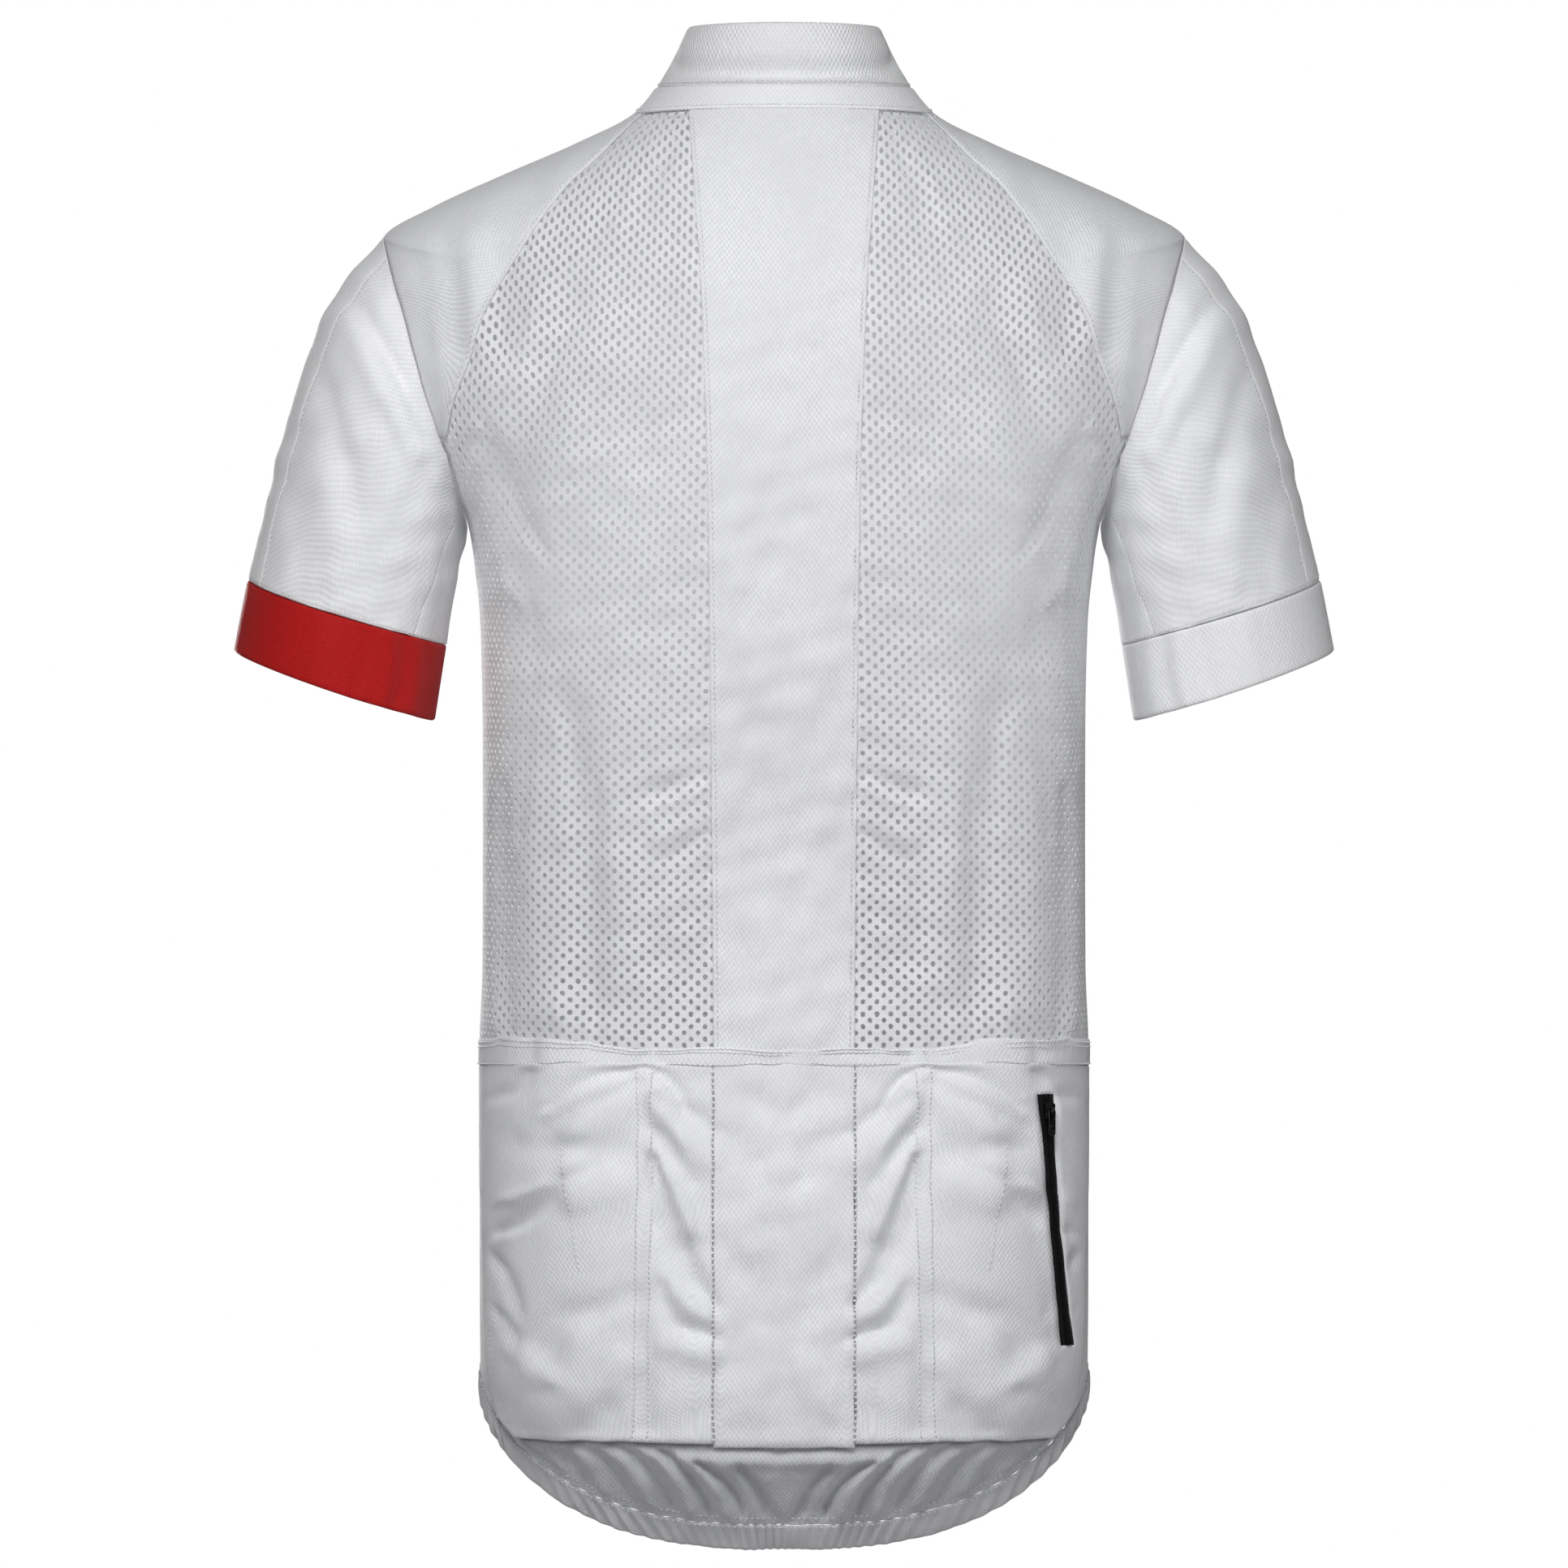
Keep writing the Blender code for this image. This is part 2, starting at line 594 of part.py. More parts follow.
def panel_outer_border(front):
    """Angles of a body panel's outer border: raglan, then armhole, then side seam."""
    raglan, arm, end_row = (
        (FRONT_RAGLAN_ANGLES, FRONT_ARM_ANGLES, FRONT_LEG_END) if front
        else (BACK_RAGLAN_ANGLES, BACK_ARM_ANGLES, BACK_LEG_END)
    )
    return np.concatenate([
        raglan[: end_row + 1], arm[end_row + 1 - TIP_ROW :], side_seam_angle(WAIST_LEVELS[1:])
    ])


def gathers(columns, evenness, sway):
    """Ridge and hollow in turn from column to column, each a little different."""
    count = np.arange(columns + 1)
    height = evenness + (1 - evenness) * np.sin(count * sway)
    return np.where(count % 2, height, -height)


def build_back():
    """Centre back panel, the two mesh panels, and the lower back with the tail."""
    levels = np.repeat(UPPER_LEVELS[:, None], CENTRE_COLUMNS + 1, axis=1)
    seam = back_seam_angle(UPPER_LEVELS, CENTRE_SEAM)
    body_wall("back_centre", spread(-seam, seam, CENTRE_COLUMNS), levels, WHITE_KNIT,
              seams="left right top bottom")
    levels = np.repeat(UPPER_LEVELS[:, None], MESH_COLUMNS + 1, axis=1)
    angles = spread(seam, panel_outer_border(front=False), MESH_COLUMNS)
    for name, mirror in (("back_mesh_left", False), ("back_mesh_right", True)):
        body_wall(name, angles, levels, WHITE_MESH, seams="left right top bottom",
                  mirror=mirror)
    levels = np.repeat(TAIL_LEVELS[:, None], TAIL_COLUMNS + 1, axis=1)
    side = side_seam_angle(TAIL_LEVELS)
    angles = spread(-side, side, TAIL_COLUMNS)
    x, _, z = np.moveaxis(form(angles, levels), -1, 0)
    below_pocket = np.clip((TAIL_GATHER_TOP - z) / TAIL_GATHER_HEIGHT, 0, 1)
    ridge = TAIL_GATHER_RISE * gathers(TAIL_COLUMNS, evenness=0.7, sway=1.9)
    roll = ROLL_RISE * np.exp(-(((z - ROLL_Z) / ROLL_HALF_HEIGHT) ** 2))
    roll *= np.exp(-((x / ROLL_HALF_WIDTH) ** 4)) * (z < POCKET_FOOT)
    lift = below_pocket * ridge + roll
    body_wall("back_lower", angles, levels, WHITE_KNIT, lift=lift,
              seams="left right top bottom")


def build_shoulders():
    """Shoulder panels: one piece from the back raglan over the top to the front one."""
    last_row = max(BACK_LEG_END, FRONT_LEG_END)
    levels = UPPER_LEVELS[: last_row + 1]
    count = len(levels)
    tip = form(math.pi / 2, levels[TIP_ROW])[0]
    neck = form(math.pi / 2, levels[0])[0]
    half_top = np.interp(
        np.arange(count), [0, TIP_ROW], [NECK_HALF_EDGE / neck, TIP_HALF_EDGE / tip]
    )
    back_split = math.pi / 2 - half_top
    front_split = math.pi / 2 + half_top
    back_split[TIP_ROW:] = BACK_ARM_ANGLES[: count - TIP_ROW]
    front_split[TIP_ROW:] = FRONT_ARM_ANGLES[: count - TIP_ROW]
    back = spread(BACK_RAGLAN_ANGLES[:count], back_split, SHOULDER_LEG_COLUMNS)
    front = spread(front_split, FRONT_RAGLAN_ANGLES[:count], SHOULDER_LEG_COLUMNS)
    angles = np.concatenate([back, front], axis=1)
    levels = np.repeat(levels[:, None], angles.shape[1], axis=1)
    gap_column = SHOULDER_LEG_COLUMNS

    def armhole_or_past_leg(row, column):
        if column == gap_column:
            return row >= TIP_ROW
        return row >= (BACK_LEG_END if column < gap_column else FRONT_LEG_END)

    for name, mirror in (("shoulder_left", False), ("shoulder_right", True)):
        body_wall(name, angles, levels, WHITE_KNIT, seams="left right top",
                  left_out=armhole_or_past_leg, mirror=mirror)


def build_front():
    """Front: one piece with an open slit down its middle for the zip."""
    levels = np.concatenate([UPPER_LEVELS, TAIL_LEVELS[1:]])
    outer = np.concatenate([panel_outer_border(front=True), side_seam_angle(TAIL_LEVELS[1:])])
    slit = front_slit_angle(levels, FRONT_ZIP_HALF_SLIT)
    left = spread(outer, slit, FRONT_COLUMNS, FRONT_BIAS)
    angles = np.concatenate([left, 2 * math.pi - left[:, ::-1]], axis=1)
    nets = np.repeat(levels[:, None], angles.shape[1], axis=1)
    zip_row = front_zip_row()
    body_wall(
        "front", angles, nets, WHITE_KNIT, seams="left right top bottom",
        left_out=lambda row, column: column == FRONT_COLUMNS and row < zip_row,
    )


def front_zip_row():
    """Row of the front in which the zip's slit ends."""
    return int(np.argmin(np.abs(form(math.pi, UPPER_LEVELS)[:, 2] - FRONT_ZIP_END)))


def build_neck():
    """Neck band and stand collar, both open at the zip."""
    for name, top, foot, rows, thickness in (
        ("collar", COLLAR_TOP, COLLAR_SEAM, 3, COLLAR_WALL),
        ("neck_band", COLLAR_SEAM, NECK_EDGE, 1, COLLAR_WALL),
    ):
        levels = np.linspace(level_of(top), level_of(foot), rows + 1)
        slit = front_slit_angle(levels, FRONT_ZIP_HALF_SLIT)
        angles = spread(-slit, slit, COLLAR_COLUMNS)
        nets = np.repeat(levels[:, None], COLLAR_COLUMNS + 1, axis=1)
        seams = "bottom" if name == "collar" else "top bottom"
        body_wall(name, angles, nets, WHITE_KNIT, thickness, seams=seams)


def build_hem():
    """Gathered elastic hem, one band at the back and one at the front."""
    levels = np.array([level_of(HEM_SEAM) + HEM_EXTRA_GAP, level_of(HEM)])
    side = side_seam_angle(levels)
    for name, left, right in (
        ("hem_band_back", -side, side),
        ("hem_band_front", side, 2 * math.pi - side),
    ):
        edge = form(np.linspace(left[1], right[1], 200), levels[1])
        length = np.linalg.norm(np.diff(edge, axis=0), axis=1).sum()
        columns = 2 * round(length / GATHER_PITCH)
        angles = spread(left, right, columns)
        nets = np.repeat(levels[:, None], columns + 1, axis=1)
        row_share = np.array([GATHER_RISE_AT_SEAM, 1.0])[:, None]
        ridge = GATHER_RISE * row_share * gathers(columns, evenness=0.8, sway=0.83)
        body_wall(name, angles, nets, WHITE_KNIT, BAND_WALL, lift=BAND_STAND + ridge,
                  seams="left right top")


def sleeve_net():
    """Points and wall directions of the left sleeve and cuff, one row to each ring.

    The columns run from the top of the arm down its back, under it and up its front.
    """
    back = cloth(BACK_ARM_ANGLES, ARM_LEVELS)
    front = cloth(FRONT_ARM_ANGLES, ARM_LEVELS)
    loop = np.concatenate([back, front[-2::-1]])
    out_of_body = np.concatenate([
        normals_of(folded, BACK_ARM_ANGLES, ARM_LEVELS),
        normals_of(folded, FRONT_ARM_ANGLES, ARM_LEVELS)[-2::-1],
    ])
    reach = np.concatenate([
        np.linspace(0, CUFF_REACH, SLEEVE_ROWS + 1), np.linspace(CUFF_REACH, CUFF_END, 3)[1:]
    ])
    rings = pchip([ring.reach for ring in SLEEVE_RINGS], SLEEVE_RINGS, reach)
    outer = np.stack([rings[:, 1], 0 * reach, rings[:, 2]], axis=-1)
    inner = np.stack([rings[:, 3], 0 * reach, rings[:, 4]], axis=-1)
    centre, arm = (outer + inner) / 2, (outer - inner) / 2
    height = (loop - centre[0]) @ arm[0] / (arm[0] @ arm[0])
    sign = np.where(np.arange(len(loop)) <= ARMHOLE_ROWS, 1.0, -1.0)
    turn = sign * np.arccos(np.clip(height, -1, 1))
    turn = np.where(turn < -1e-6, turn + 2 * math.pi, turn)
    cuff_turn = cuff_angles(len(loop))
    share = (reach / CUFF_REACH).clip(0, 1)[:, None]
    turn = turn[None, :] * (1 - share) + cuff_turn[None, :] * share
    points = (
        centre[:, None] + np.cos(turn)[..., None] * arm[:, None]
        + np.sin(turn)[..., None] * rings[:, 5][:, None, None] * np.array([0.0, 1.0, 0.0])
    )
    to_armhole = loop - points[0]
    fade = np.clip(1 - reach / ARMHOLE_BLEND, 0, 1) ** 2
    points = points + fade[:, None, None] * to_armhole
    direction = net_normals(points)
    rise = fold_rise(SLEEVE_FOLDS, points[..., 0], points[..., 2])
    rise *= (np.abs(np.sin(turn)) ** 1.5) * np.clip(reach / FOLDS_FROM, 0, 1)[:, None]
    points = points + direction * rise[..., None]
    direction = net_normals(points)
    along = (direction[0] * out_of_body).sum(axis=-1, keepdims=True)
    shared = direction[0] + out_of_body * (along > 0)
    direction[0] = shared / np.linalg.norm(shared, axis=-1, keepdims=True)
    points[0] += np.array(OFF_ARMHOLE)
    return points, direction


def cuff_angles(count):
    """Turn of each sleeve column at the cuff, with the seams at their places there."""
    half = ARMHOLE_ROWS
    steps = [0, TOP_SEAM_STEP, UNDER_SEAM_STEP, half]
    turns = np.radians(
        [TOP_COLUMN_AT_CUFF, TOP_SEAM_AT_CUFF, UNDER_SEAM_AT_CUFF, 180.0]
    )
    back = np.interp(np.arange(half + 1), steps, turns)
    front = 2 * math.pi - back[half - 1 :: -1]
    return np.concatenate([back, front])[:count]


def net_normals(points):
    """Outward normals of a sleeve net whose columns close on themselves."""
    across = np.roll(points, -1, axis=1) - np.roll(points, 1, axis=1)
    along = np.gradient(points, axis=0)
    normal = np.cross(across, along)
    return -normal / np.linalg.norm(normal, axis=-1, keepdims=True)


def build_sleeves():
    """Back, front and under pieces of each sleeve, and its cuff band."""
    points, direction = sleeve_net()
    lining = points - direction * KNIT_WALL
    total = points.shape[1]
    body = slice(0, SLEEVE_ROWS + 1)
    front_under = total - UNDER_SEAM_STEP
    pieces = {
        "sleeve_back": list(range(TOP_SEAM_STEP, UNDER_SEAM_STEP + 1)),
        "sleeve_under": list(range(UNDER_SEAM_STEP, front_under + 1)),
        "sleeve_front": list(range(front_under, total)) + list(range(TOP_SEAM_STEP + 1)),
    }
    for side, mirror in (("left", False), ("right", True)):
        for piece, columns in pieces.items():
            wall(f"{piece}_{side}", points[body][:, columns], lining[body][:, columns],
                 WHITE_KNIT, seams="left right bottom", mirror=mirror)
        ring = list(range(total)) + [0]
        cuff = slice(SLEEVE_ROWS, None)
        outer = points[cuff][:, ring] + direction[cuff][:, ring] * CUFF_STAND
        inner = outer - direction[cuff][:, ring] * CUFF_WALL
        colour = RED_KNIT if side == "left" else WHITE_KNIT
        wall(f"cuff_{side}", outer, inner, colour, seams="top", closed=True, mirror=mirror)


def pocket_lift(x, z):
    """How far the pocket's outer face stands off the back."""
    x = np.abs(x)
    open_part = np.clip((z - MOUTH_GAPE_END) / (BAND_FOOT - MOUTH_GAPE_END), 0, 1)
    share = np.clip((x - POCKET_DIVISION) / (POCKET_OUTSIDE - POCKET_DIVISION), 0, 1)
    side_pouch = MOUTH_GAPE * np.sin(np.pi * share) ** GAPE_ROUND
    centre_pouch = CENTRE_GAPE * np.clip(1 - (x / POCKET_DIVISION) ** 2, 0, 1)
    crease = fold_rise(POCKET_FOLDS, x, z)
    pouch = (side_pouch + centre_pouch) * open_part**GAPE_FALL + crease
    return POCKET_LIFT + np.maximum(pouch, 0)


def pocket_net():
    """Angles and levels of the left side pocket, and the columns of its zip."""
    z_row = np.array([row.z for row in POCKET_ROWS])
    inner_angle, _ = place_on_back(np.full(len(z_row), POCKET_CENTRE_SEAM), z_row)
    x_out = np.array([row.x_out for row in POCKET_ROWS])
    z_out = np.array([row.z_out for row in POCKET_ROWS])
    outer_angle, outer_level = place_on_back(x_out, z_out)
    outer_angle = np.minimum(outer_angle, side_seam_angle(outer_level))
    middle = pchip(*zip_column("x"), -z_row)
    half = pchip(*zip_column("half_width"), -z_row)
    zip_in, _ = place_on_back(middle - half, z_row)
    zip_out, _ = place_on_back(middle + half, z_row)
    last = next(i for i, row in enumerate(POCKET_ROWS) if row.z <= POCKET_ZIP[-1].z)
    span = outer_angle - inner_angle
    for edge in (zip_in, zip_out):
        share = (edge[last] - inner_angle[last]) / span[last]
        edge[last + 1 :] = inner_angle[last + 1 :] + share * span[last + 1 :]
    angles = np.concatenate([
        spread(inner_angle, zip_in, POCKET_COLUMNS),
        spread(zip_out, outer_angle, POCKET_SIDE_COLUMNS),
    ], axis=1)
    share = (angles - inner_angle[:, None]) / span[:, None]
    z = z_row[:, None] + (z_out - z_row)[:, None] * share
    return angles, level_where(angles, z)


def zip_column(name):
    """Depths and one column of the pocket zip's table."""
    return [-p.z for p in POCKET_ZIP], [getattr(p, name) for p in POCKET_ZIP]


def build_pockets():
    """Three pocket panels, the band along their mouths and the side pocket's zip."""
    angles, levels = pocket_net()
    points = form(angles, levels)
    lift = pocket_lift(points[..., 0], points[..., 2])
    first = 1
    last = next(i for i, row in enumerate(POCKET_ROWS) if row.z <= POCKET_ZIP[-1].z)
    body_wall("pocket_left", angles, levels, WHITE_KNIT, lift=lift, seams="left")
    body_wall("pocket_right", angles, levels, WHITE_KNIT, lift=lift, seams="left",
              mirror=True,
              left_out=lambda row, column: column == POCKET_COLUMNS and first <= row < last)
    centre_angle = spread(-angles[:, 0], angles[:, 0], CENTRE_COLUMNS)
    z_row = np.array([row.z for row in POCKET_ROWS])[:, None]
    centre_level = level_where(centre_angle, np.broadcast_to(z_row, centre_angle.shape))
    x = form(centre_angle, centre_level)[..., 0]
    body_wall("pocket_centre", centre_angle, centre_level, WHITE_KNIT,
              lift=pocket_lift(x, z_row), seams="left right")
    build_pocket_band(angles, centre_angle)
    build_pocket_zip(angles, levels, lift, first, last)


def build_pocket_band(side_angles, centre_angles):
    """Elastic band from side seam to side seam, along the mouths of the pockets."""
    top_row = np.concatenate([
        -side_angles[0, ::-1], centre_angles[0, 1:-1], side_angles[0]
    ])
    x = form(top_row, level_of(POCKET_SEAM))[:, 0]
    top = BAND_TOP_CENTRE + (BAND_TOP_SIDE - BAND_TOP_CENTRE) * (x / BODY_HALF_WIDTH) ** 2
    z = np.stack([top, (top + BAND_FOOT) / 2, np.full_like(top, BAND_FOOT)])
    angles = np.repeat(top_row[None, :], 3, axis=0)
    levels = level_where(angles, z)
    lift = pocket_lift(np.broadcast_to(x, z.shape), np.full_like(z, BAND_FOOT))
    body_wall("pocket_band", angles, levels, WHITE_KNIT, BAND_WALL, lift=lift + POCKET_BAND_STAND,
              seams="left right")


def build_pocket_zip(angles, levels, lift, first, last):
    """Zip strip in the opening of the side pocket, with its slider and pull."""
    rows = slice(first, last + 1)
    lips = np.stack([angles, levels, lift], axis=-1)[rows]
    left, right = lips[:, POCKET_COLUMNS], lips[:, POCKET_COLUMNS + 1]
    gap = SEAM_GAP / ((right[:, 0] - left[:, 0]) * POCKET_ZIP_RADIUS)
    share = np.stack([gap, 0 * gap + 1 / 3, 0 * gap + 2 / 3, 1 - gap], axis=1)[..., None]
    edge, level, base = np.moveaxis(
        left[:, None] * (1 - share) + right[:, None] * share, -1, 0
    )
    rise = np.array([-POCKET_ZIP_EDGE_SUNK, POCKET_CHAIN_RISE,
                     POCKET_CHAIN_RISE, -POCKET_ZIP_EDGE_SUNK])
    outer = cloth(edge, level, base + rise)
    inner = cloth(edge, level, base - KNIT_WALL)
    wall("pocket_zip", outer, inner, ZIP_BLACK, seams="top bottom", mirror=True)
    middle = pchip(*zip_column("x"), -POCKET_SLIDER_Z)
    angle, level = place_on_back(middle, POCKET_SLIDER_Z)
    stand = float(pocket_lift(middle, np.asarray(POCKET_SLIDER_Z))) + POCKET_SLIDER_STAND
    seat = seat_on_cloth(float(angle), float(level), stand, slant_angle=zip_slant())
    flip = Matrix.Diagonal((-1, 1, 1, 1))
    seat = flip @ seat @ flip
    build_slider("pocket_zip", seat, POCKET_SLIDER_SCALE, POCKET_PULL_LENGTH)


def zip_slant():
    """Angle by which the pocket's zip leans out from the vertical."""
    run = POCKET_ZIP[1].x - POCKET_ZIP[0].x
    return math.atan2(run, POCKET_ZIP[0].z - POCKET_ZIP[1].z)


def build_front_zip():
    """Zip strip down the front slit, with its slider at the collar and its pull."""
    levels = np.concatenate([
        np.linspace(FRONT_ZIP_TOP_LEVEL, level_of(NECK_EDGE), FRONT_ZIP_NECK_ROWS),
        UPPER_LEVELS[1 : front_zip_row() + 1],
    ])
    half = FRONT_ZIP_HALF_SLIT - SEAM_GAP
    edge = front_slit_angle(levels, half)
    chain = front_slit_angle(levels, ZIP_CHAIN_HALF)
    angles = np.stack([edge, chain, 2 * math.pi - chain, 2 * math.pi - edge], axis=1)
    nets = np.repeat(levels[:, None], 4, axis=1)
    nets[-1] -= SEAM_GAP / 2
    rise = np.array([0.0, ZIP_CHAIN_RISE, ZIP_CHAIN_RISE, 0.0])
    outer = cloth(angles, nets, np.broadcast_to(rise, angles.shape))
    inner = cloth(angles, nets, np.full(angles.shape, -KNIT_WALL))
    wall("front_zip", outer, inner, ZIP_BLACK, seams="bottom")
    seat = seat_on_cloth(math.pi, FRONT_SLIDER_LEVEL, ZIP_CHAIN_RISE + SEAM_GAP)
    build_slider("front_zip", seat, 1.0, FRONT_PULL_LENGTH)


def seat_on_cloth(angle, level, lift, slant_angle=0.0):
    """Frame that stands on the cloth: X across, Y out of it, Z up along it."""
    step_up = 3.0
    here = cloth(np.array([angle]), np.array([level]), np.array([lift]))[0]
    above = cloth(np.array([angle]), np.array([level - step_up]), np.array([lift]))[0]
    out = Vector(normals_of(folded, np.array([angle]), np.array([level]))[0])
    up = Vector(above - here)
    up = (up - out * up.dot(out)).normalized()
    up.rotate(Matrix.Rotation(slant_angle, 3, out))
    across = out.cross(up)
    frame = Matrix((across, out, up)).transposed().to_4x4()
    frame.translation = Vector(here) * MM
    return frame


# Slider and pull, in their own frame: X across the zip, Y out of it, Z along it.
# The base stands on Y = 0; the hinge of the pull is PIVOT above it.
BASE_HALF_WIDTH, BASE_HALF_LENGTH, BASE_HEIGHT = 4.0, 5.0, 2.2
PIVOT = 3.3
BRIDGE_HALF_WIDTH, BRIDGE_IN, BRIDGE_OUT, BRIDGE_ROOF = 0.9, 1.6, 2.8, 1.1
BRIDGE_TOP, BRIDGE_SUNK = 2.0, 0.6
BASE_TAPER, BASE_ROUND = 0.78, 1.0
PULL_HALF_WIDTH, PULL_EYE_HALF, PULL_EYE_LENGTH, PULL_HALF_THICK = 2.8, 1.5, 4.8, 0.6
PULL_HEAD = 0.6

# Outline of the pull below its eye: share of its length, and share of its width
PullRow = namedtuple("PullRow", "down width")
PULL_ROWS = (PullRow(0.62, 0.92), PullRow(0.90, 0.92), PullRow(1.00, 0.60))


def box(mesh, low, high):
    """Add a block between two corners to a mesh."""
    low, high = Vector(low), Vector(high)
    block = bmesh.ops.create_cube(mesh, size=1.0)["verts"]
    bmesh.ops.scale(mesh, vec=high - low, verts=block)
    bmesh.ops.translate(mesh, vec=(low + high) / 2, verts=block)
    return block


def build_slider(name, seat, scale, tab):
    """Slider with its bridge, and the pull tab that swings under the bridge."""
    unit = MM * scale
    mesh = bmesh.new()
    verts = box(mesh, (-BASE_HALF_WIDTH, 0, -BASE_HALF_LENGTH),
                (BASE_HALF_WIDTH, BASE_HEIGHT, BASE_HALF_LENGTH))
    lower = [v for v in verts if v.co.z < 0]
    bmesh.ops.scale(mesh, vec=(BASE_TAPER, 1, 1), verts=lower)
    upright = [e for e in mesh.edges if abs(e.verts[0].co.y - e.verts[1].co.y) > 0.1]
    bmesh.ops.bevel(mesh, geom=upright, offset=BASE_ROUND, offset_type="OFFSET", segments=2,
                    profile=0.5, affect="EDGES", material=-1)
    bmesh.ops.scale(mesh, vec=(unit, unit, unit), verts=mesh.verts)
    slider = add_object(f"{name}_slider", mesh, SLIDER_BLACK, 0.35, 1.0, smooth=False)
    slider.matrix_world = seat
    mesh = bmesh.new()
    sunk = BASE_HEIGHT - BRIDGE_SUNK
    roof, top = PIVOT + BRIDGE_ROOF, PIVOT + BRIDGE_TOP
    outline = [
        (sunk, -BRIDGE_OUT), (top, -BRIDGE_OUT), (top, BRIDGE_OUT), (sunk, BRIDGE_OUT),
        (sunk, BRIDGE_IN), (roof, BRIDGE_IN), (roof, -BRIDGE_IN), (sunk, -BRIDGE_IN),
    ]
    face = mesh.faces.new([mesh.verts.new((-BRIDGE_HALF_WIDTH, y, z)) for y, z in outline])
    solid = bmesh.ops.extrude_face_region(mesh, geom=[face], use_keep_orig=True)
    moved = [v for v in solid["geom"] if isinstance(v, bmesh.types.BMVert)]
    bmesh.ops.translate(mesh, vec=(2 * BRIDGE_HALF_WIDTH, 0, 0), verts=moved)
    bmesh.ops.scale(mesh, vec=(unit, unit, unit), verts=mesh.verts)
    bridge = add_object(f"{name}_bridge_shape", mesh, SLIDER_BLACK, smooth=False)
    bridge.matrix_world = seat
    bridge.hide_render = True
    bridge.display_type = "WIRE"
    union = slider.modifiers.new("Bridge", "BOOLEAN")
    union.operation = "UNION"
    union.solver = "EXACT"
    union.object = bridge
    build_pull(name, seat, unit, tab)


def build_pull(name, seat, unit, tab):
    """Pull tab, its origin on the hinge: a plate with an eye that the bridge fills."""
    columns = [-PULL_HALF_WIDTH, -PULL_EYE_HALF, PULL_EYE_HALF, PULL_HALF_WIDTH]
    rows = [PULL_HEAD, -PULL_HEAD, -PULL_EYE_LENGTH, *(-tab * row.down for row in PULL_ROWS)]
    narrow = [1.0, 1.0, 1.0, *(row.width for row in PULL_ROWS)]
    mesh = bmesh.new()
    bmesh.ops.create_grid(mesh, x_segments=3, y_segments=len(rows) - 1, size=1.0)
    for vert in mesh.verts:
        column = round((vert.co.x + 1) / 2 * 3)
        row = round((vert.co.y + 1) / 2 * (len(rows) - 1))
        vert.co = (columns[column] * narrow[row], -PULL_HALF_THICK, rows[row])
    eye = [
        face for face in mesh.faces
        if abs(face.calc_center_median().x) < PULL_EYE_HALF
        and -PULL_EYE_LENGTH < face.calc_center_median().z < -PULL_HEAD
    ]
    bmesh.ops.delete(mesh, geom=eye, context="FACES")
    solid = bmesh.ops.extrude_face_region(mesh, geom=mesh.faces[:], use_keep_orig=True)
    moved = [v for v in solid["geom"] if isinstance(v, bmesh.types.BMVert)]
    bmesh.ops.translate(mesh, vec=(0, 2 * PULL_HALF_THICK, 0), verts=moved)
    bmesh.ops.scale(mesh, vec=(unit, unit, unit), verts=mesh.verts)
    pull = add_object(f"{name}_pull", mesh, SLIDER_BLACK, 0.35, 1.0, smooth=False)
    hinge = bpy.data.objects.new(f"{name}_hinge", None)
    bpy.context.scene.collection.objects.link(hinge)
    hinge.matrix_world = seat @ Matrix.Translation((0, PIVOT * unit, 0))
    pull.parent = hinge


def main():
    """Build the garment in an empty scene."""
    for obj in list(bpy.data.objects):
        bpy.data.objects.remove(obj, do_unlink=True)
    build_neck()
    build_back()
    build_shoulders()
    build_front()
    build_sleeves()
    build_pockets()
    build_hem()
    build_front_zip()


main()
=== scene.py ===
"""Short-sleeved cycling jersey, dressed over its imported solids.

The cloth is wrapped on the same body form as the solids: a stack of closed rings from the
collar's top edge to the hem. A place on the trunk is an angle round the body (0 at the
centre back, positive to the wearer's left) and a level (millimetres below the collar's top
edge, measured at the centre back). A place on a sleeve is a column round the arm and a
reach along it. Sizes are in millimetres and turn into metres when a mesh is made.
"""

import logging
import math
from dataclasses import dataclass, field
from enum import Enum
from functools import cache
from typing import Any, Callable, NamedTuple, Optional, Sequence

import bmesh
import bpy
import numpy as np
from mathutils import Matrix, Vector


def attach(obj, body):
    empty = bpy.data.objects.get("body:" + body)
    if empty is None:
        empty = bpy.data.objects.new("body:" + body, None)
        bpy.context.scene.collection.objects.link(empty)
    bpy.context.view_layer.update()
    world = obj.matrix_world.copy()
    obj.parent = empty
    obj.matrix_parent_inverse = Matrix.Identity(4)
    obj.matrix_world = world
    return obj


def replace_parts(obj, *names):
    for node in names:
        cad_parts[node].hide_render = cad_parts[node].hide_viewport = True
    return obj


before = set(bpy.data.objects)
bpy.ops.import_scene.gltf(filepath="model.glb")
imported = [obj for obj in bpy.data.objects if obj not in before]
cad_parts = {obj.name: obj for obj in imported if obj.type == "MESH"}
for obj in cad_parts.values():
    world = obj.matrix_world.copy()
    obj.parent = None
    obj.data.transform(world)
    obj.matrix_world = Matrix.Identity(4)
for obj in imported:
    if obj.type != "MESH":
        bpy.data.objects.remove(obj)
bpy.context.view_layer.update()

LOG = logging.getLogger("jersey")
MM = 0.001
BODY = "garment"
MIRROR = np.array([-1.0, 1.0, 1.0])

# Cloth thicknesses of the dressed shells
KNIT = 0.8
MESH = 0.7
BAND = 1.2
TAPE = 0.9
# Distance of the slit's edges from the middle of the front, and half the gap at a seam
SLIT = 3.5
GAP = 0.15
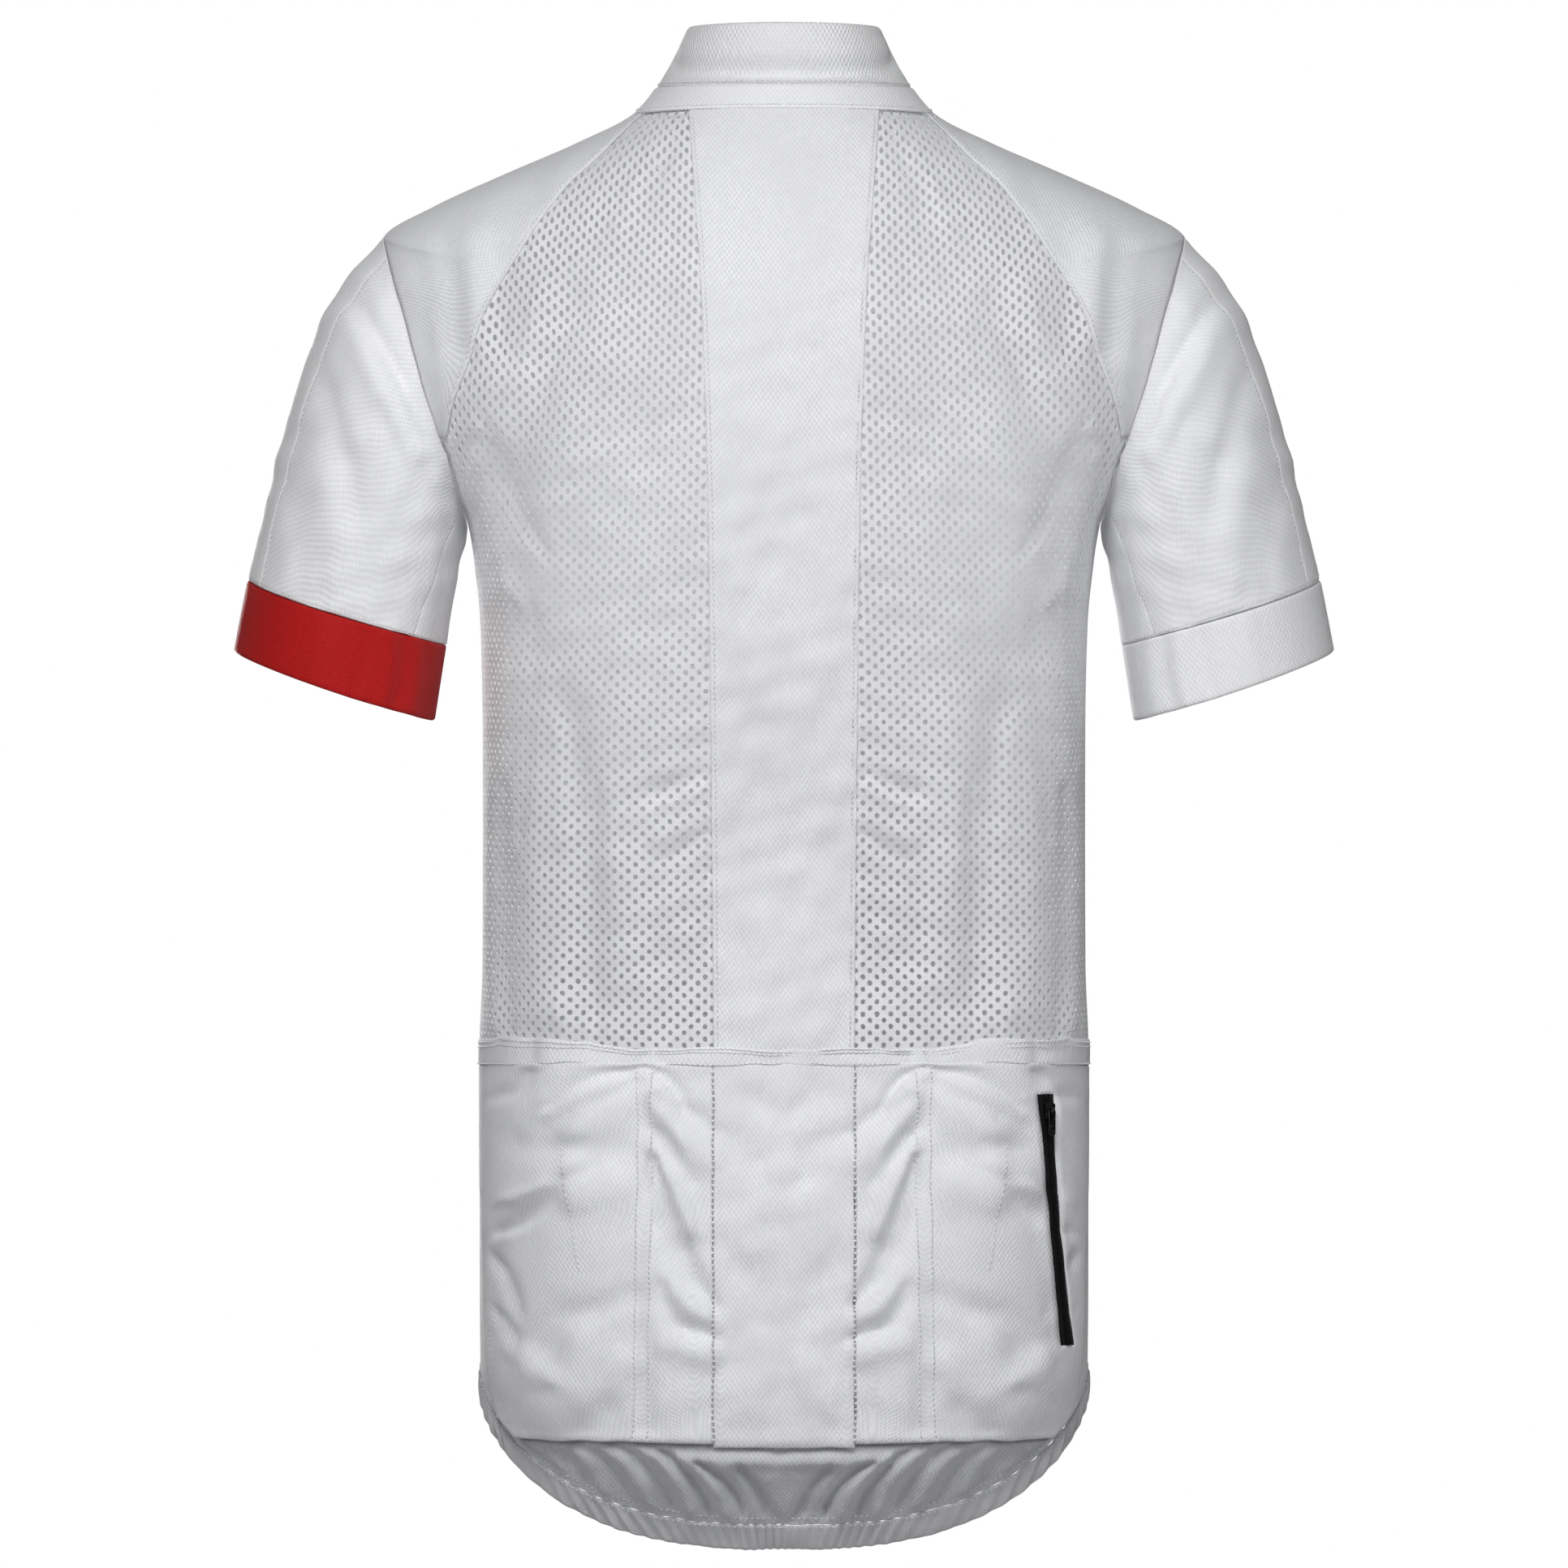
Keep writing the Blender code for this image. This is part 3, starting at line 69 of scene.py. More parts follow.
# Heights of the seams at the centre back
COLLAR_TOP = 49.0
COLLAR_SEAM = 18.0
NECK_EDGE = 6.0
SHOULDER_TIP = -80.0
UNDERARM = -199.0
POCKET_SEAM = -459.0
HEM_SEAM = -690.0
HEM = -703.0
FRONT_ZIP_END = -300.0


def rows_of(kind: type, *rows: tuple) -> tuple:
    """Table of named rows, from plain ones."""
    return tuple(kind(*row) for row in rows)


class Section(NamedTuple):
    """One ring of the form: heights, half widths and depths."""

    z_back: float
    z_side: float
    z_front: float
    half_width: float
    flat_width: float
    y_back: float
    y_side: float
    y_front: float
    square: float


SECTIONS = rows_of(Section,
    (49, 47.5, -16, 46.8, 46.8, 44, -10, -70, 2.10), (33, 32, -34, 54.2, 54.2, 50, -6, -74, 2.10),
    (18, 17, -48, 62.8, 62.8, 57, 0, -78, 2.10), (6, 4, -60, 74, 73, 64, 4, -84, 2.15),
    (-14.5, -10, -84, 101, 96, 77.5, 4, -97, 2.25),
    (-36.5, -26, -107, 138, 121, 89.5, 2, -107, 2.35),
    (-59, -42, -129, 173, 140, 98.5, 0, -113, 2.45),
    (-80, -57, -147, 197.6, 151, 105, -2, -117, 2.50),
    (-104, -80, -165, 205, 156.5, 110, -1, -120, 2.50),
    (-132, -112, -183, 203, 159.5, 113.5, 0, -121, 2.55),
    (-160, -148, -198, 187, 160, 115.5, 0, -121, 2.60),
    (-182, -178, -208.5, 167, 158.5, 116, 0, -121, 2.60),
    (-199, -199, -217, 155.6, 156.5, 116, 0, -121, 2.60),
    (-222, -221, -232, 152.2, 154, 115.6, 0, -121, 2.60),
    (-250, -248, -254, 149.6, 151.5, 114.4, 0, -120, 2.60),
    (-300, -298, -302, 148.5, 149.5, 110, 0, -117, 2.60),
    (-360, -357, -358, 148.4, 148.4, 102.5, 0, -111, 2.60),
    (-420, -416, -414, 148.6, 148.6, 98, 0, -107.5, 2.60),
    (-459, -454, -448, 150, 150, 99, 0, -107.5, 2.60),
    (-540, -509, -495, 150, 150, 106, 0, -109.5, 2.60),
    (-620, -565, -542, 150, 150, 108, 0, -111.5, 2.60),
    (-652, -587.9, -562.6, 149.9, 149.9, 104.5, 0, -111.7, 2.60),
    (-690, -615, -587, 149.6, 149.6, 77, 0, -112, 2.60),
    (-703, -628, -600, 149.4, 149.4, 67, 0, -112, 2.60),
)
# half_width gives way to flat_width with this power of the sine of the angle, and the
# height passes from the side's to the back's or front's with this power of the depth
SIDE_POWER = 5.0
CREST = 1.6


class SeamPoint(NamedTuple):
    """Distance of a seam from the centre line at one height."""

    z: float
    x: float


CENTRE_SEAM = rows_of(SeamPoint,
    (6, 47.2), (-92, 40.4), (-190, 37.4), (-299, 36), (-459, 34.6),
)
ARMHOLE_SEAM = rows_of(SeamPoint,
    (-57, 197.6), (-67, 195.4), (-88, 189.4), (-117, 181.4), (-136, 175.8), (-159, 167.6),
    (-190, 158.8), (-199, 155.6),
)
BACK_RAGLAN = rows_of(SeamPoint,
    (5.2, 69.2), (-4, 78.4), (-15.6, 89.6), (-34.4, 108.8), (-60.8, 127.6), (-85.2, 142.8),
    (-116.8, 154.4), (-136.4, 161.6), (-157, 166.4),
)
FRONT_RAGLAN = rows_of(SeamPoint,
    (0, 62), (-22, 70), (-50, 92), (-85, 122), (-120, 142), (-160, 158),
)
FRONT_ARMHOLE_SCOOP = 7.0
# Degrees of the side seam from the centre back, by height at the centre back
SIDE_SEAM = ((-199.0, 90.0), (-459.0, 88.0), (-620.0, 76.0), (-703.0, 75.0))


class Crease(NamedTuple):
    """Soft fold drawn on the back or front view, alike on both halves.

    It runs from one end to the other, bowed sideways by bow, and rises (or sinks) by rise
    over width to each side. lean makes one side steeper than the other.
    """

    x0: float
    z0: float
    x1: float
    z1: float
    width: float
    rise: float
    bow: float = 0.0
    lean: float = 0.0


# Creases die out near the side: cosine of the angle at which they begin to fade
SIDE_FADE = 0.25
# Folds that the solids have too
BACK_FOLDS = rows_of(Crease,
    (153, -60, 151, -108, 7, 1.8), (165, -64, 160, -112, 7, -1.4), (141, -66, 138, -112, 8, -1.4),
    (118, -84, 146, -150, 9, 1.6), (104, -90, 138, -178, 10, -1.8), (88, -104, 130, -230, 13, 1.7),
    (70, -150, 110, -262, 15, -1.6), (128, -275, 118, -440, 11, 1.6),
    (106, -290, 98, -430, 12, -1.6), (84, -300, 80, -420, 12, 1.2), (42, -322, 64, -331, 6, -1.2),
    (41, -343, 62, -353, 6, 1.2), (14, -300, 8, -360, 12, -1.2), (12, -400, 10, -440, 12, 1.2),
)
FRONT_FOLDS = rows_of(Crease,
    (150, -205, 96, -236, 10, 1.8), (148, -226, 92, -262, 10, -1.6), (118, -96, 136, -168, 10, 1.4),
    (124, -300, 112, -430, 13, 1.5), (96, -320, 90, -450, 14, -1.4), (60, -400, 54, -540, 16, 1.2),
)
SLEEVE_FOLDS = rows_of(Crease,
    (207, -92, 171, -152, 6, -2.4), (216, -98, 180, -162, 7, 1.7), (232, -128, 214, -190, 10, -1.2),
    (222, -176, 206, -226, 10, 1.2),
)
POCKET_FOLDS = rows_of(Crease,
    (70, -466, 110, -484, 6, 1.6), (74, -474, 112, -496, 6, -1.4), (70, -466, 51, -488, 5, 1.2),
    (63, -516, 54, -556, 6, -1.6), (54, -556, 38, -586, 6, -1.2), (112, -524, 136, -546, 7, 1.6),
    (108, -536, 134, -560, 7, -1.4), (100, -600, 112, -640, 8, 1.2), (60, -590, 62, -640, 6, 1),
)
# Finer creases of the dressed cloth
BACK_CREASES = rows_of(Crease,
    (60, -20, 96, -96, 7, -0.7, 3), (74, -32, 112, -128, 6, 0.7, 3),
    (56, -60, 92, -150, 8, -0.8, 4), (128, -96, 150, -158, 5, -0.8, 2),
    (146, -150, 118, -210, 6, -1, -4), (152, -168, 128, -236, 6, 0.9, -4),
    (136, -226, 141, -330, 5, 0.8, 2), (124, -240, 129, -350, 5, -0.8, 2),
    (138, -330, 135, -448, 5, -1, -2), (144, -320, 142, -446, 4, 0.8, -2),
    (112, -300, 110, -440, 6, 0.9, 3), (92, -330, 92, -446, 6, -0.8, -2),
    (70, -310, 66, -400, 8, -0.7, 2), (58, -380, 70, -446, 7, 0.6, 2),
    (40, -328, 58, -336, 4, 0.7, 1), (40, -352, 60, -364, 4, -0.6, 1),
    (44, -24, 30, -60, 8, -0.5, 2), (16, -8, 6, -30, 6, -0.6, 1), (4, -30, 10, -120, 9, 0.4, 1),
    (26, -90, 22, -180, 9, -0.5, 2), (8, -190, 14, -250, 10, -0.6, 2),
    (28, -210, 18, -270, 9, 0.5, 2), (6, -290, 24, -330, 9, 0.5, 2),
    (22, -360, 4, -400, 10, -0.6, 2), (28, -420, 12, -452, 8, 0.5, -2),
)
SHOULDER_CREASES = rows_of(Crease,
    (182, -66, 176, -110, 6, -0.8, 2), (120, -30, 150, -62, 8, -0.6, 2),
    (96, -6, 118, -30, 5, 0.5, 1), (172, -100, 168, -150, 6, 0.6, 2),
)
FRONT_CREASES = rows_of(Crease,
    (152, -198, 104, -300, 9, -1, 8), (140, -196, 70, -250, 8, 0.9, 6),
    (40, -110, 66, -190, 12, -0.9, 4), (20, -150, 40, -230, 11, 0.8, 4),
    (14, -300, 36, -360, 8, -1.1, 4), (12, -312, 52, -350, 8, 1, 4),
    (136, -300, 132, -420, 6, -0.9, 3), (142, -360, 138, -480, 6, 0.8, 3),
    (110, -440, 120, -560, 9, -0.9, 4), (80, -430, 84, -560, 9, 0.8, -4),
    (30, -420, 26, -560, 12, -0.7, 4), (12, -470, 14, -575, 9, 0.6, 2),
    (140, -500, 128, -570, 7, 0.7, 3), (56, -120, 96, -210, 10, 0.7, 3),
)
SLEEVE_CREASES = rows_of(Crease,
    (213, -88, 174, -156, 3.6, -1.3, 3, 0.4), (238, -120, 222, -226, 8, 0.9, 4),
    (229, -124, 204, -236, 6, -0.8, 4), (206, -110, 186, -236, 10, 0.8, 4),
    (196, -150, 178, -240, 5, -0.7, 3), (246, -176, 238, -232, 5, -0.6, 2),
    (212, -236, 236, -240, 5, 0.5, 2), (172, -206, 176, -252, 4, 0.6, 1),
)
CUFF_CREASES = rows_of(Crease,
    (186, -254, 190, -284, 3.5, -1.2, 1), (194, -250, 199, -288, 4, 1.1, 2),
    (180, -262, 184, -292, 3, 1, 1), (206, -252, 212, -282, 4.5, -0.8, 2),
    (228, -244, 232, -272, 6, 0.5, 2), (176, -258, 178, -292, 3, -0.9, 1),
)
POCKET_CREASES = rows_of(Crease,
    (68, -466, 110, -486, 3.6, -1.5, -4, 0.3), (64, -478, 98, -496, 8, 1.1, -4),
    (66, -466, 49, -484, 2.6, -1.4, 2, -0.3), (62, -486, 47, -518, 4.5, 1.2, 3),
    (50, -487, 36, -496, 5, -1, 1), (47, -500, 37, -512, 7, 0.9, 0),
    (62, -498, 45, -521, 4, -1.3, 1), (62, -508, 45, -546, 3.6, 1.5, 1),
    (63, -512, 46, -567, 5.5, -2.4, -3, 0.3), (50, -556, 35, -581, 5, -1.8, -2),
    (59, -574, 47, -595, 4, -1.3, -3), (49, -594, 35, -598, 4.5, -1.4, 1),
    (52, -576, 38, -588, 7, 1.3, 0), (56, -602, 38, -606, 7, 1.1, 0),
    (106, -521, 136, -546, 5, -1.8, 4, 0.2), (100, -514, 132, -530, 6, 1.2, 4),
    (80, -507, 93, -513, 7, -0.9, 0), (110, -505, 126, -504, 7, -0.8, 0),
    (84, -522, 98, -532, 9, 0.9, 0), (119, -469, 137, -480, 4.5, -1.1, 2),
    (104, -588, 116, -602, 9, -1.2, 0), (76, -578, 90, -584, 8, -0.9, 0),
    (80, -612, 96, -626, 9, 0.9, 0), (112, -618, 128, -606, 7, 0.9, 2),
    (86, -634, 96, -644, 7, -0.9, 0), (70, -620, 66, -640, 7, -0.8, 0),
    (140, -560, 128, -586, 3.6, -0.9, 2), (139, -586, 130, -604, 3.2, -0.8, 2),
    (18, -478, 6, -486, 6, -0.6, 0), (26, -500, 10, -520, 9, -0.6, 2),
    (4, -520, 16, -556, 10, 0.5, 2), (24, -560, 10, -590, 9, -0.6, 2),
    (8, -610, 22, -632, 9, 0.6, 2),
)
# Fan of folds in the tail, between the rolled fold and the elastic
TAIL_CREASES = rows_of(Crease,
    (20.5, -662, 2.5, -689, 3, -2.6, 1.5, 0.5), (24, -667, 12, -684, 4.5, -1.3, 0),
    (29, -663, 12, -687, 3.5, 1.3, 2), (42.5, -660, 20, -688, 2.6, -2.6, 4, -0.4),
    (51, -657, 27, -688, 4, 2, 4), (60, -655, 36, -687, 2.8, -2.3, 4, -0.4),
    (69, -653, 45, -685, 4.2, 1.8, 4), (80, -652, 55, -683, 3, -2, 3, -0.4),
    (90, -651, 65, -680, 4.2, 1.7, 3), (100, -650, 76, -677, 3, -1.7, 3, -0.3),
    (110, -648, 88, -673, 4, 1.4, 3), (120, -643, 99, -668, 3, -1.4, 2),
    (128, -636, 110, -661, 4, 1.2, 2), (135, -630, 120, -654, 3, -1.2, 2),
    (6, -668, 1, -686, 5, 0.9, 0),
)


class Wave(NamedTuple):
    """One of the long soft waves that keep plain cloth from lying dead flat."""

    across: float
    down: float
    start: float


# Turns per metre across and down, and where the wave starts, in turns
SOFT_WAVES = rows_of(Wave,
    (31, 12, 0.10), (-22, 25, 0.35), (14, -37, 0.60), (45, -9, 0.20), (-41, -28, 0.85),
    (9, 49, 0.50), (57, 31, 0.05), (-18, -61, 0.75),
)
SOFT_WAVE_RISE = 0.16
# How much deeper the creases are pressed than the tables say
CREASE_GAIN = 1.4


class SleeveRing(NamedTuple):
    """Outer and inner end of a sleeve ring in the back view, and half its depth."""

    reach: float
    outer_x: float
    outer_z: float
    inner_x: float
    inner_z: float
    depth: float


SLEEVE_RINGS = rows_of(SleeveRing,
    (0, 197.6, -57, 155.6, -199, 66), (0.15, 212, -72.5, 157.4, -208, 66),
    (0.30, 225.2, -92, 159.4, -217, 65), (0.45, 235.2, -116, 161, -226, 64),
    (0.60, 243.5, -143, 162.6, -235, 62.5), (0.80, 254, -182, 164.8, -247, 60),
    (1, 264, -226, 166.8, -258, 58), (1.25, 270.8, -261, 172.6, -295, 57.5),
    (1.30, 272.1, -268, 173.8, -302.4, 57.5),
)
# The sleeve's end hangs lower at its back than at its front by this share of the reach
SLEEVE_BOW = 0.022
CUFF_REACH = 1.0
CUFF_END = 1.25
ARMHOLE_BLEND = 0.5
FOLDS_FROM = 0.15
OFF_ARMHOLE = np.array([0.35, 0.0, -0.10])
# Columns round the arm: 0 at its top, 12 under it; the lengthwise seams, and their turns
# in degrees at the cuff
ARMHOLE_COLUMNS = 12
TOP_SEAM = 2
UNDER_SEAM = 10
CUFF_TURNS = (3.0, 28.0, 134.0, 180.0)
# How far the armhole's flat top reaches to the back and front of the shoulder tip
TIP_HALF_EDGE = 6.0
NECK_HALF_EDGE = 2.4


def pchip(knots: Sequence[float], values: np.ndarray, at: np.ndarray) -> np.ndarray:
    """Read a smooth curve through knots that never overshoots them.

    Args:
        knots: rising positions.
        values: one value or one row of values for each knot.
        at: where to read.

    Returns:
        The values there.
    """
    knots = np.asarray(knots, float)
    values = np.asarray(values, float)
    step = np.diff(knots)
    slope = np.diff(values, axis=0) / step.reshape((-1,) + (1,) * (values.ndim - 1))
    tangent = np.zeros_like(values)
    tangent[0], tangent[-1] = slope[0], slope[-1]
    same_way = slope[:-1] * slope[1:] > 0
    mean = 2 * slope[:-1] * slope[1:] / np.where(same_way, slope[:-1] + slope[1:], 1)
    tangent[1:-1] = np.where(same_way, mean, 0)
    at = np.clip(np.asarray(at, float), knots[0], knots[-1])
    k = np.clip(np.searchsorted(knots, at, side="right") - 1, 0, len(step) - 1)
    h = step[k]
    u = (at - knots[k]) / h
    if values.ndim > 1:
        h, u = h[..., None], u[..., None]
    return (
        values[k] * (1 + 2 * u) * (1 - u) ** 2
        + tangent[k] * h * u * (1 - u) ** 2
        + values[k + 1] * u * u * (3 - 2 * u)
        + tangent[k + 1] * h * u * u * (u - 1)
    )


def read_table(table: Sequence[tuple], at: np.ndarray) -> np.ndarray:
    """Second column of a table, read at values of its first column."""
    rows = sorted(tuple(row)[:2] for row in table)
    return pchip([row[0] for row in rows], [row[1] for row in rows], at)


def level_of(z_back: float) -> float:
    """Level of the ring whose centre back stands at this height."""
    return COLLAR_TOP - z_back


LEVELS = np.array([level_of(section.z_back) for section in SECTIONS])
LAST_LEVEL = LEVELS[-1]


def crease_rise(creases: Sequence[Crease], x: np.ndarray, z: np.ndarray) -> np.ndarray:
    """How far creases lift the cloth at places of the back or front view.

    Args:
        creases: the creases of the right half, mirrored to the left one.
        x: distances from the centre line.
        z: heights.

    Returns:
        The rise at each place.
    """
    x = np.abs(x)
    rise = np.zeros_like(x)
    for crease in creases:
        room = 3 * crease.width + abs(crease.bow)
        near = (
            (x > min(crease.x0, crease.x1) - room) & (x < max(crease.x0, crease.x1) + room)
            & (z > min(crease.z0, crease.z1) - room) & (z < max(crease.z0, crease.z1) + room)
        )
        if not near.any():
            continue
        run_x, run_z = crease.x1 - crease.x0, crease.z1 - crease.z0
        length = math.hypot(run_x, run_z)
        off_x, off_z = x[near] - crease.x0, z[near] - crease.z0
        along = (off_x * run_x + off_z * run_z) / length**2
        share = np.clip(along, 0, 1)
        side = (off_x * run_z - off_z * run_x) / length
        side = side - crease.bow * 4 * share * (1 - share)
        beyond = (along - share) * length
        width = crease.width * (1 - crease.lean * np.sign(side))
        if crease.bow or crease.lean:
            width = width * (0.55 + 0.45 * np.sqrt(np.clip(4 * share * (1 - share), 0, 1)))
        rise[near] += crease.rise * np.exp(-(side / width) ** 2 - (beyond / crease.width) ** 2)
    return CREASE_GAIN * rise


def soft_rise(x: np.ndarray, z: np.ndarray) -> np.ndarray:
    """Long soft waves over the whole cloth, at places of the back or front view."""
    total = np.zeros_like(x)
    for wave in SOFT_WAVES:
        turns = (wave.across * x + wave.down * z) * MM + wave.start
        total += np.sin(2 * math.pi * turns)
    return SOFT_WAVE_RISE * total


def unit(vectors: np.ndarray) -> np.ndarray:
    """Vectors of length one."""
    return vectors / np.linalg.norm(vectors, axis=-1, keepdims=True)


def halve(low: np.ndarray, high: np.ndarray, test: Callable, rounds: int) -> np.ndarray:
    """Place between low and high at which a test turns true, by halving."""
    for _ in range(rounds):
        middle = (low + high) / 2
        past = test(middle)
        high = np.where(past, middle, high)
        low = np.where(past, low, middle)
    return (low + high) / 2


def running_length(points: np.ndarray) -> np.ndarray:
    """Distance of each point from the first, along the line that they make."""
    step = np.linalg.norm(np.diff(points, axis=0), axis=-1)
    return np.concatenate([[0.0], np.cumsum(step)])


def read_line(at: np.ndarray, along: np.ndarray, points: np.ndarray) -> np.ndarray:
    """Points of a line at places along it."""
    return np.stack([np.interp(at, along, points[:, k]) for k in range(3)], axis=-1)


def same_shape(*values: np.ndarray) -> list[np.ndarray]:
    """Arrays of numbers, stretched to one shape."""
    return np.broadcast_arrays(*(np.asarray(value, float) for value in values))


class ClothForm:
    """Surface that cloth is laid on, read at a place across and a place along it.

    Each form gives its points without folds by plain, and with them by folded.
    """

    # Small steps across and along, the end of the form, and which way its rows turn
    steps = (0.004, 0.4)
    end = LAST_LEVEL
    facing = 1.0

    def directions(self, surface: Callable, across: np.ndarray, along: np.ndarray) -> np.ndarray:
        """Outward directions of a surface function, by small steps on it."""
        turn, drop = self.steps
        run = surface(across + turn, along) - surface(across - turn, along)
        middle = np.clip(along, drop, self.end - drop)
        fall = surface(across, middle + drop) - surface(across, middle - drop)
        return self.facing * unit(np.cross(run, fall))

    def out(self, across: np.ndarray, along: np.ndarray) -> np.ndarray:
        """Outward directions of the folded form."""
        return self.directions(self.folded, *same_shape(across, along))

    def cloth(self, across: np.ndarray, along: np.ndarray,
              lift: np.ndarray | float = 0.0) -> np.ndarray:
        """Points of the folded form, moved out by the lift."""
        across, along = same_shape(across, along)
        lift = np.broadcast_to(np.asarray(lift, float), across.shape)
        return self.folded(across, along) + self.out(across, along) * lift[..., None]


class BodyForm(ClothForm):
    """The worn trunk and neck, with the folds that its cloth holds."""

    def __init__(self) -> None:
        """Work out the armhole's edge and the table of lengths round the body."""
        turn = np.linspace(0, math.pi, ARMHOLE_COLUMNS + 1)
        top, foot = level_of(SHOULDER_TIP), level_of(UNDERARM)
        self.arm_levels = top + (foot - top) * (1 - np.cos(turn)) / 2
        self.arm_angles = {front: self._armhole_angles(front) for front in (False, True)}
        self.ring_levels = np.linspace(level_of(NECK_EDGE) - 8, level_of(POCKET_SEAM) + 8, 140)
        self.ring_angles = np.linspace(0, 1.75, 260)
        angle, level = np.meshgrid(self.ring_angles, self.ring_levels)
        step = np.linalg.norm(np.diff(self.plain(angle, level), axis=1), axis=-1)
        self.ring_lengths = np.concatenate(
            [np.zeros((len(self.ring_levels), 1)), np.cumsum(step, axis=1)], axis=1
        )

    def plain(self, angle: np.ndarray, level: np.ndarray) -> np.ndarray:
        """Points of the plain form, without folds."""
        angle, level = same_shape(angle, level)
        read = pchip(LEVELS, SECTIONS, level)
        (z_back, z_side, z_front, half_width, flat_width, y_back, y_side, y_front,
         square) = np.moveaxis(read, -1, 0)
        sine, cosine = np.sin(angle), np.cos(angle)
        half_width = flat_width + (half_width - flat_width) * np.abs(sine) ** SIDE_POWER
        depth = np.where(cosine >= 0, y_back - y_side, y_side - y_front)
        reach = np.abs(cosine / depth) ** square + np.abs(sine / half_width) ** square
        reach = reach ** (-1 / square)
        lean = np.abs(reach * cosine / depth) ** CREST
        z_end = np.where(cosine >= 0, z_back, z_front)
        z = z_side + (z_end - z_side) * lean
        return np.stack([reach * sine, y_side + reach * cosine, z], axis=-1)

    def folded(self, angle: np.ndarray, level: np.ndarray) -> np.ndarray:
        """Points of the form with its folds, creases and soft waves."""
        points = self.plain(angle, level)
        x, z = points[..., 0], points[..., 2]
        cosine = np.cos(angle)
        back = crease_rise(BACK_FOLDS + BACK_CREASES + SHOULDER_CREASES, x, z)
        front = crease_rise(FRONT_FOLDS + FRONT_CREASES, x, z)
        rise = np.where(cosine >= 0, back, front)
        rise = rise * (1 - np.exp(-((cosine / SIDE_FADE) ** 2)))
        below_neck = np.clip((level - level_of(NECK_EDGE)) / 30, 0, 1)
        rise = rise + soft_rise(x + 40 * (cosine < 0), z) * below_neck * np.abs(cosine)
        return points + self.directions(self.plain, angle, level) * rise[..., None]

    def angle_where(self, level: np.ndarray, reached: Callable, low: float,
                    high: float) -> np.ndarray:
        """Angle between low and high at which a test of the form's points turns true."""
        low = np.full_like(np.asarray(level, float), low)
        return halve(low, np.full_like(low, high),
                     lambda middle: reached(self.plain(middle, level)), 36)

    def back_seam(self, level: np.ndarray, seam: Sequence[SeamPoint],
                  off: float = 0.0) -> np.ndarray:
        """Angle at which each ring meets a seam of the back view, moved out by off."""
        return self.angle_where(
            level, lambda p: p[..., 0] >= read_table(seam, p[..., 2]) + off, 0.0, math.pi / 2
        )

    def front_seam(self, level: np.ndarray, seam: Sequence[SeamPoint],
                   scoop: float = 0.0) -> np.ndarray:
        """Angle at which each ring meets a seam drawn on the front view."""
        top, foot = seam[0].z, seam[-1].z

        def reached(points: np.ndarray) -> np.ndarray:
            """Tell which points lie beyond the seam."""
            z = points[..., 2]
            dip = scoop * np.sin(np.pi * np.clip((z - top) / (foot - top), 0, 1))
            return points[..., 0] >= read_table(seam, z) - dip

        return self.angle_where(level, reached, math.pi, math.pi / 2)

    def front_slit(self, level: np.ndarray, half_width: float) -> np.ndarray:
        """Angle on the wearer's left at which the front is this far from its middle."""
        return self.angle_where(
            level, lambda p: p[..., 0] >= half_width, math.pi, math.pi * 0.75
        )

    def side_seam(self, level: np.ndarray) -> np.ndarray:
        """Angle of the side seam at each level."""
        return np.radians(read_table(SIDE_SEAM, COLLAR_TOP - np.asarray(level, float)))

    def _armhole_angles(self, front: bool) -> np.ndarray:
        """Angle of the armhole's edge in each of its rows."""
        tip = self.plain(math.pi / 2, self.arm_levels[0])
        offset = math.atan2(TIP_HALF_EDGE, tip[0])
        if front:
            angles = self.front_seam(self.arm_levels, ARMHOLE_SEAM, FRONT_ARMHOLE_SCOOP)
            angles[0] = math.pi / 2 + offset
        else:
            angles = self.back_seam(self.arm_levels, ARMHOLE_SEAM)
            angles[0] = math.pi / 2 - offset
        angles[-1] = math.pi / 2
        return angles

    def arm_edge(self, column: np.ndarray, front: bool) -> tuple[np.ndarray, np.ndarray]:
        """Angle and level of the armhole's edge at a column counted from its top."""
        rows = np.arange(ARMHOLE_COLUMNS + 1)
        top, foot = self.arm_levels[0], self.arm_levels[-1]
        level = top + (foot - top) * (1 - np.cos(math.pi * column / ARMHOLE_COLUMNS)) / 2
        return pchip(rows, self.arm_angles[front], column), level

    def arm_angle(self, level: np.ndarray, front: bool) -> np.ndarray:
        """Angle of the armhole's edge at each level."""
        top, foot = self.arm_levels[0], self.arm_levels[-1]
        share = np.clip((np.asarray(level, float) - top) / (foot - top), 0, 1)
        column = np.arccos(1 - 2 * share) * ARMHOLE_COLUMNS / math.pi
        return self.arm_edge(column, front)[0]

    def outer_border(self, level: np.ndarray, front: bool) -> np.ndarray:
        """Border of a body panel: raglan seam, then armhole, then side seam."""
        level = np.asarray(level, float)
        arm = self.arm_angle(level, front)
        above = level < self.arm_levels[0]
        if front:
            raglan = self.front_seam(level, FRONT_RAGLAN)
            border = np.where(above, raglan, np.maximum(raglan, arm))
        else:
            raglan = self.back_seam(level, BACK_RAGLAN)
            border = np.where(above, raglan, np.minimum(raglan, arm))
        return np.where(level > self.arm_levels[-1], self.side_seam(level), border)

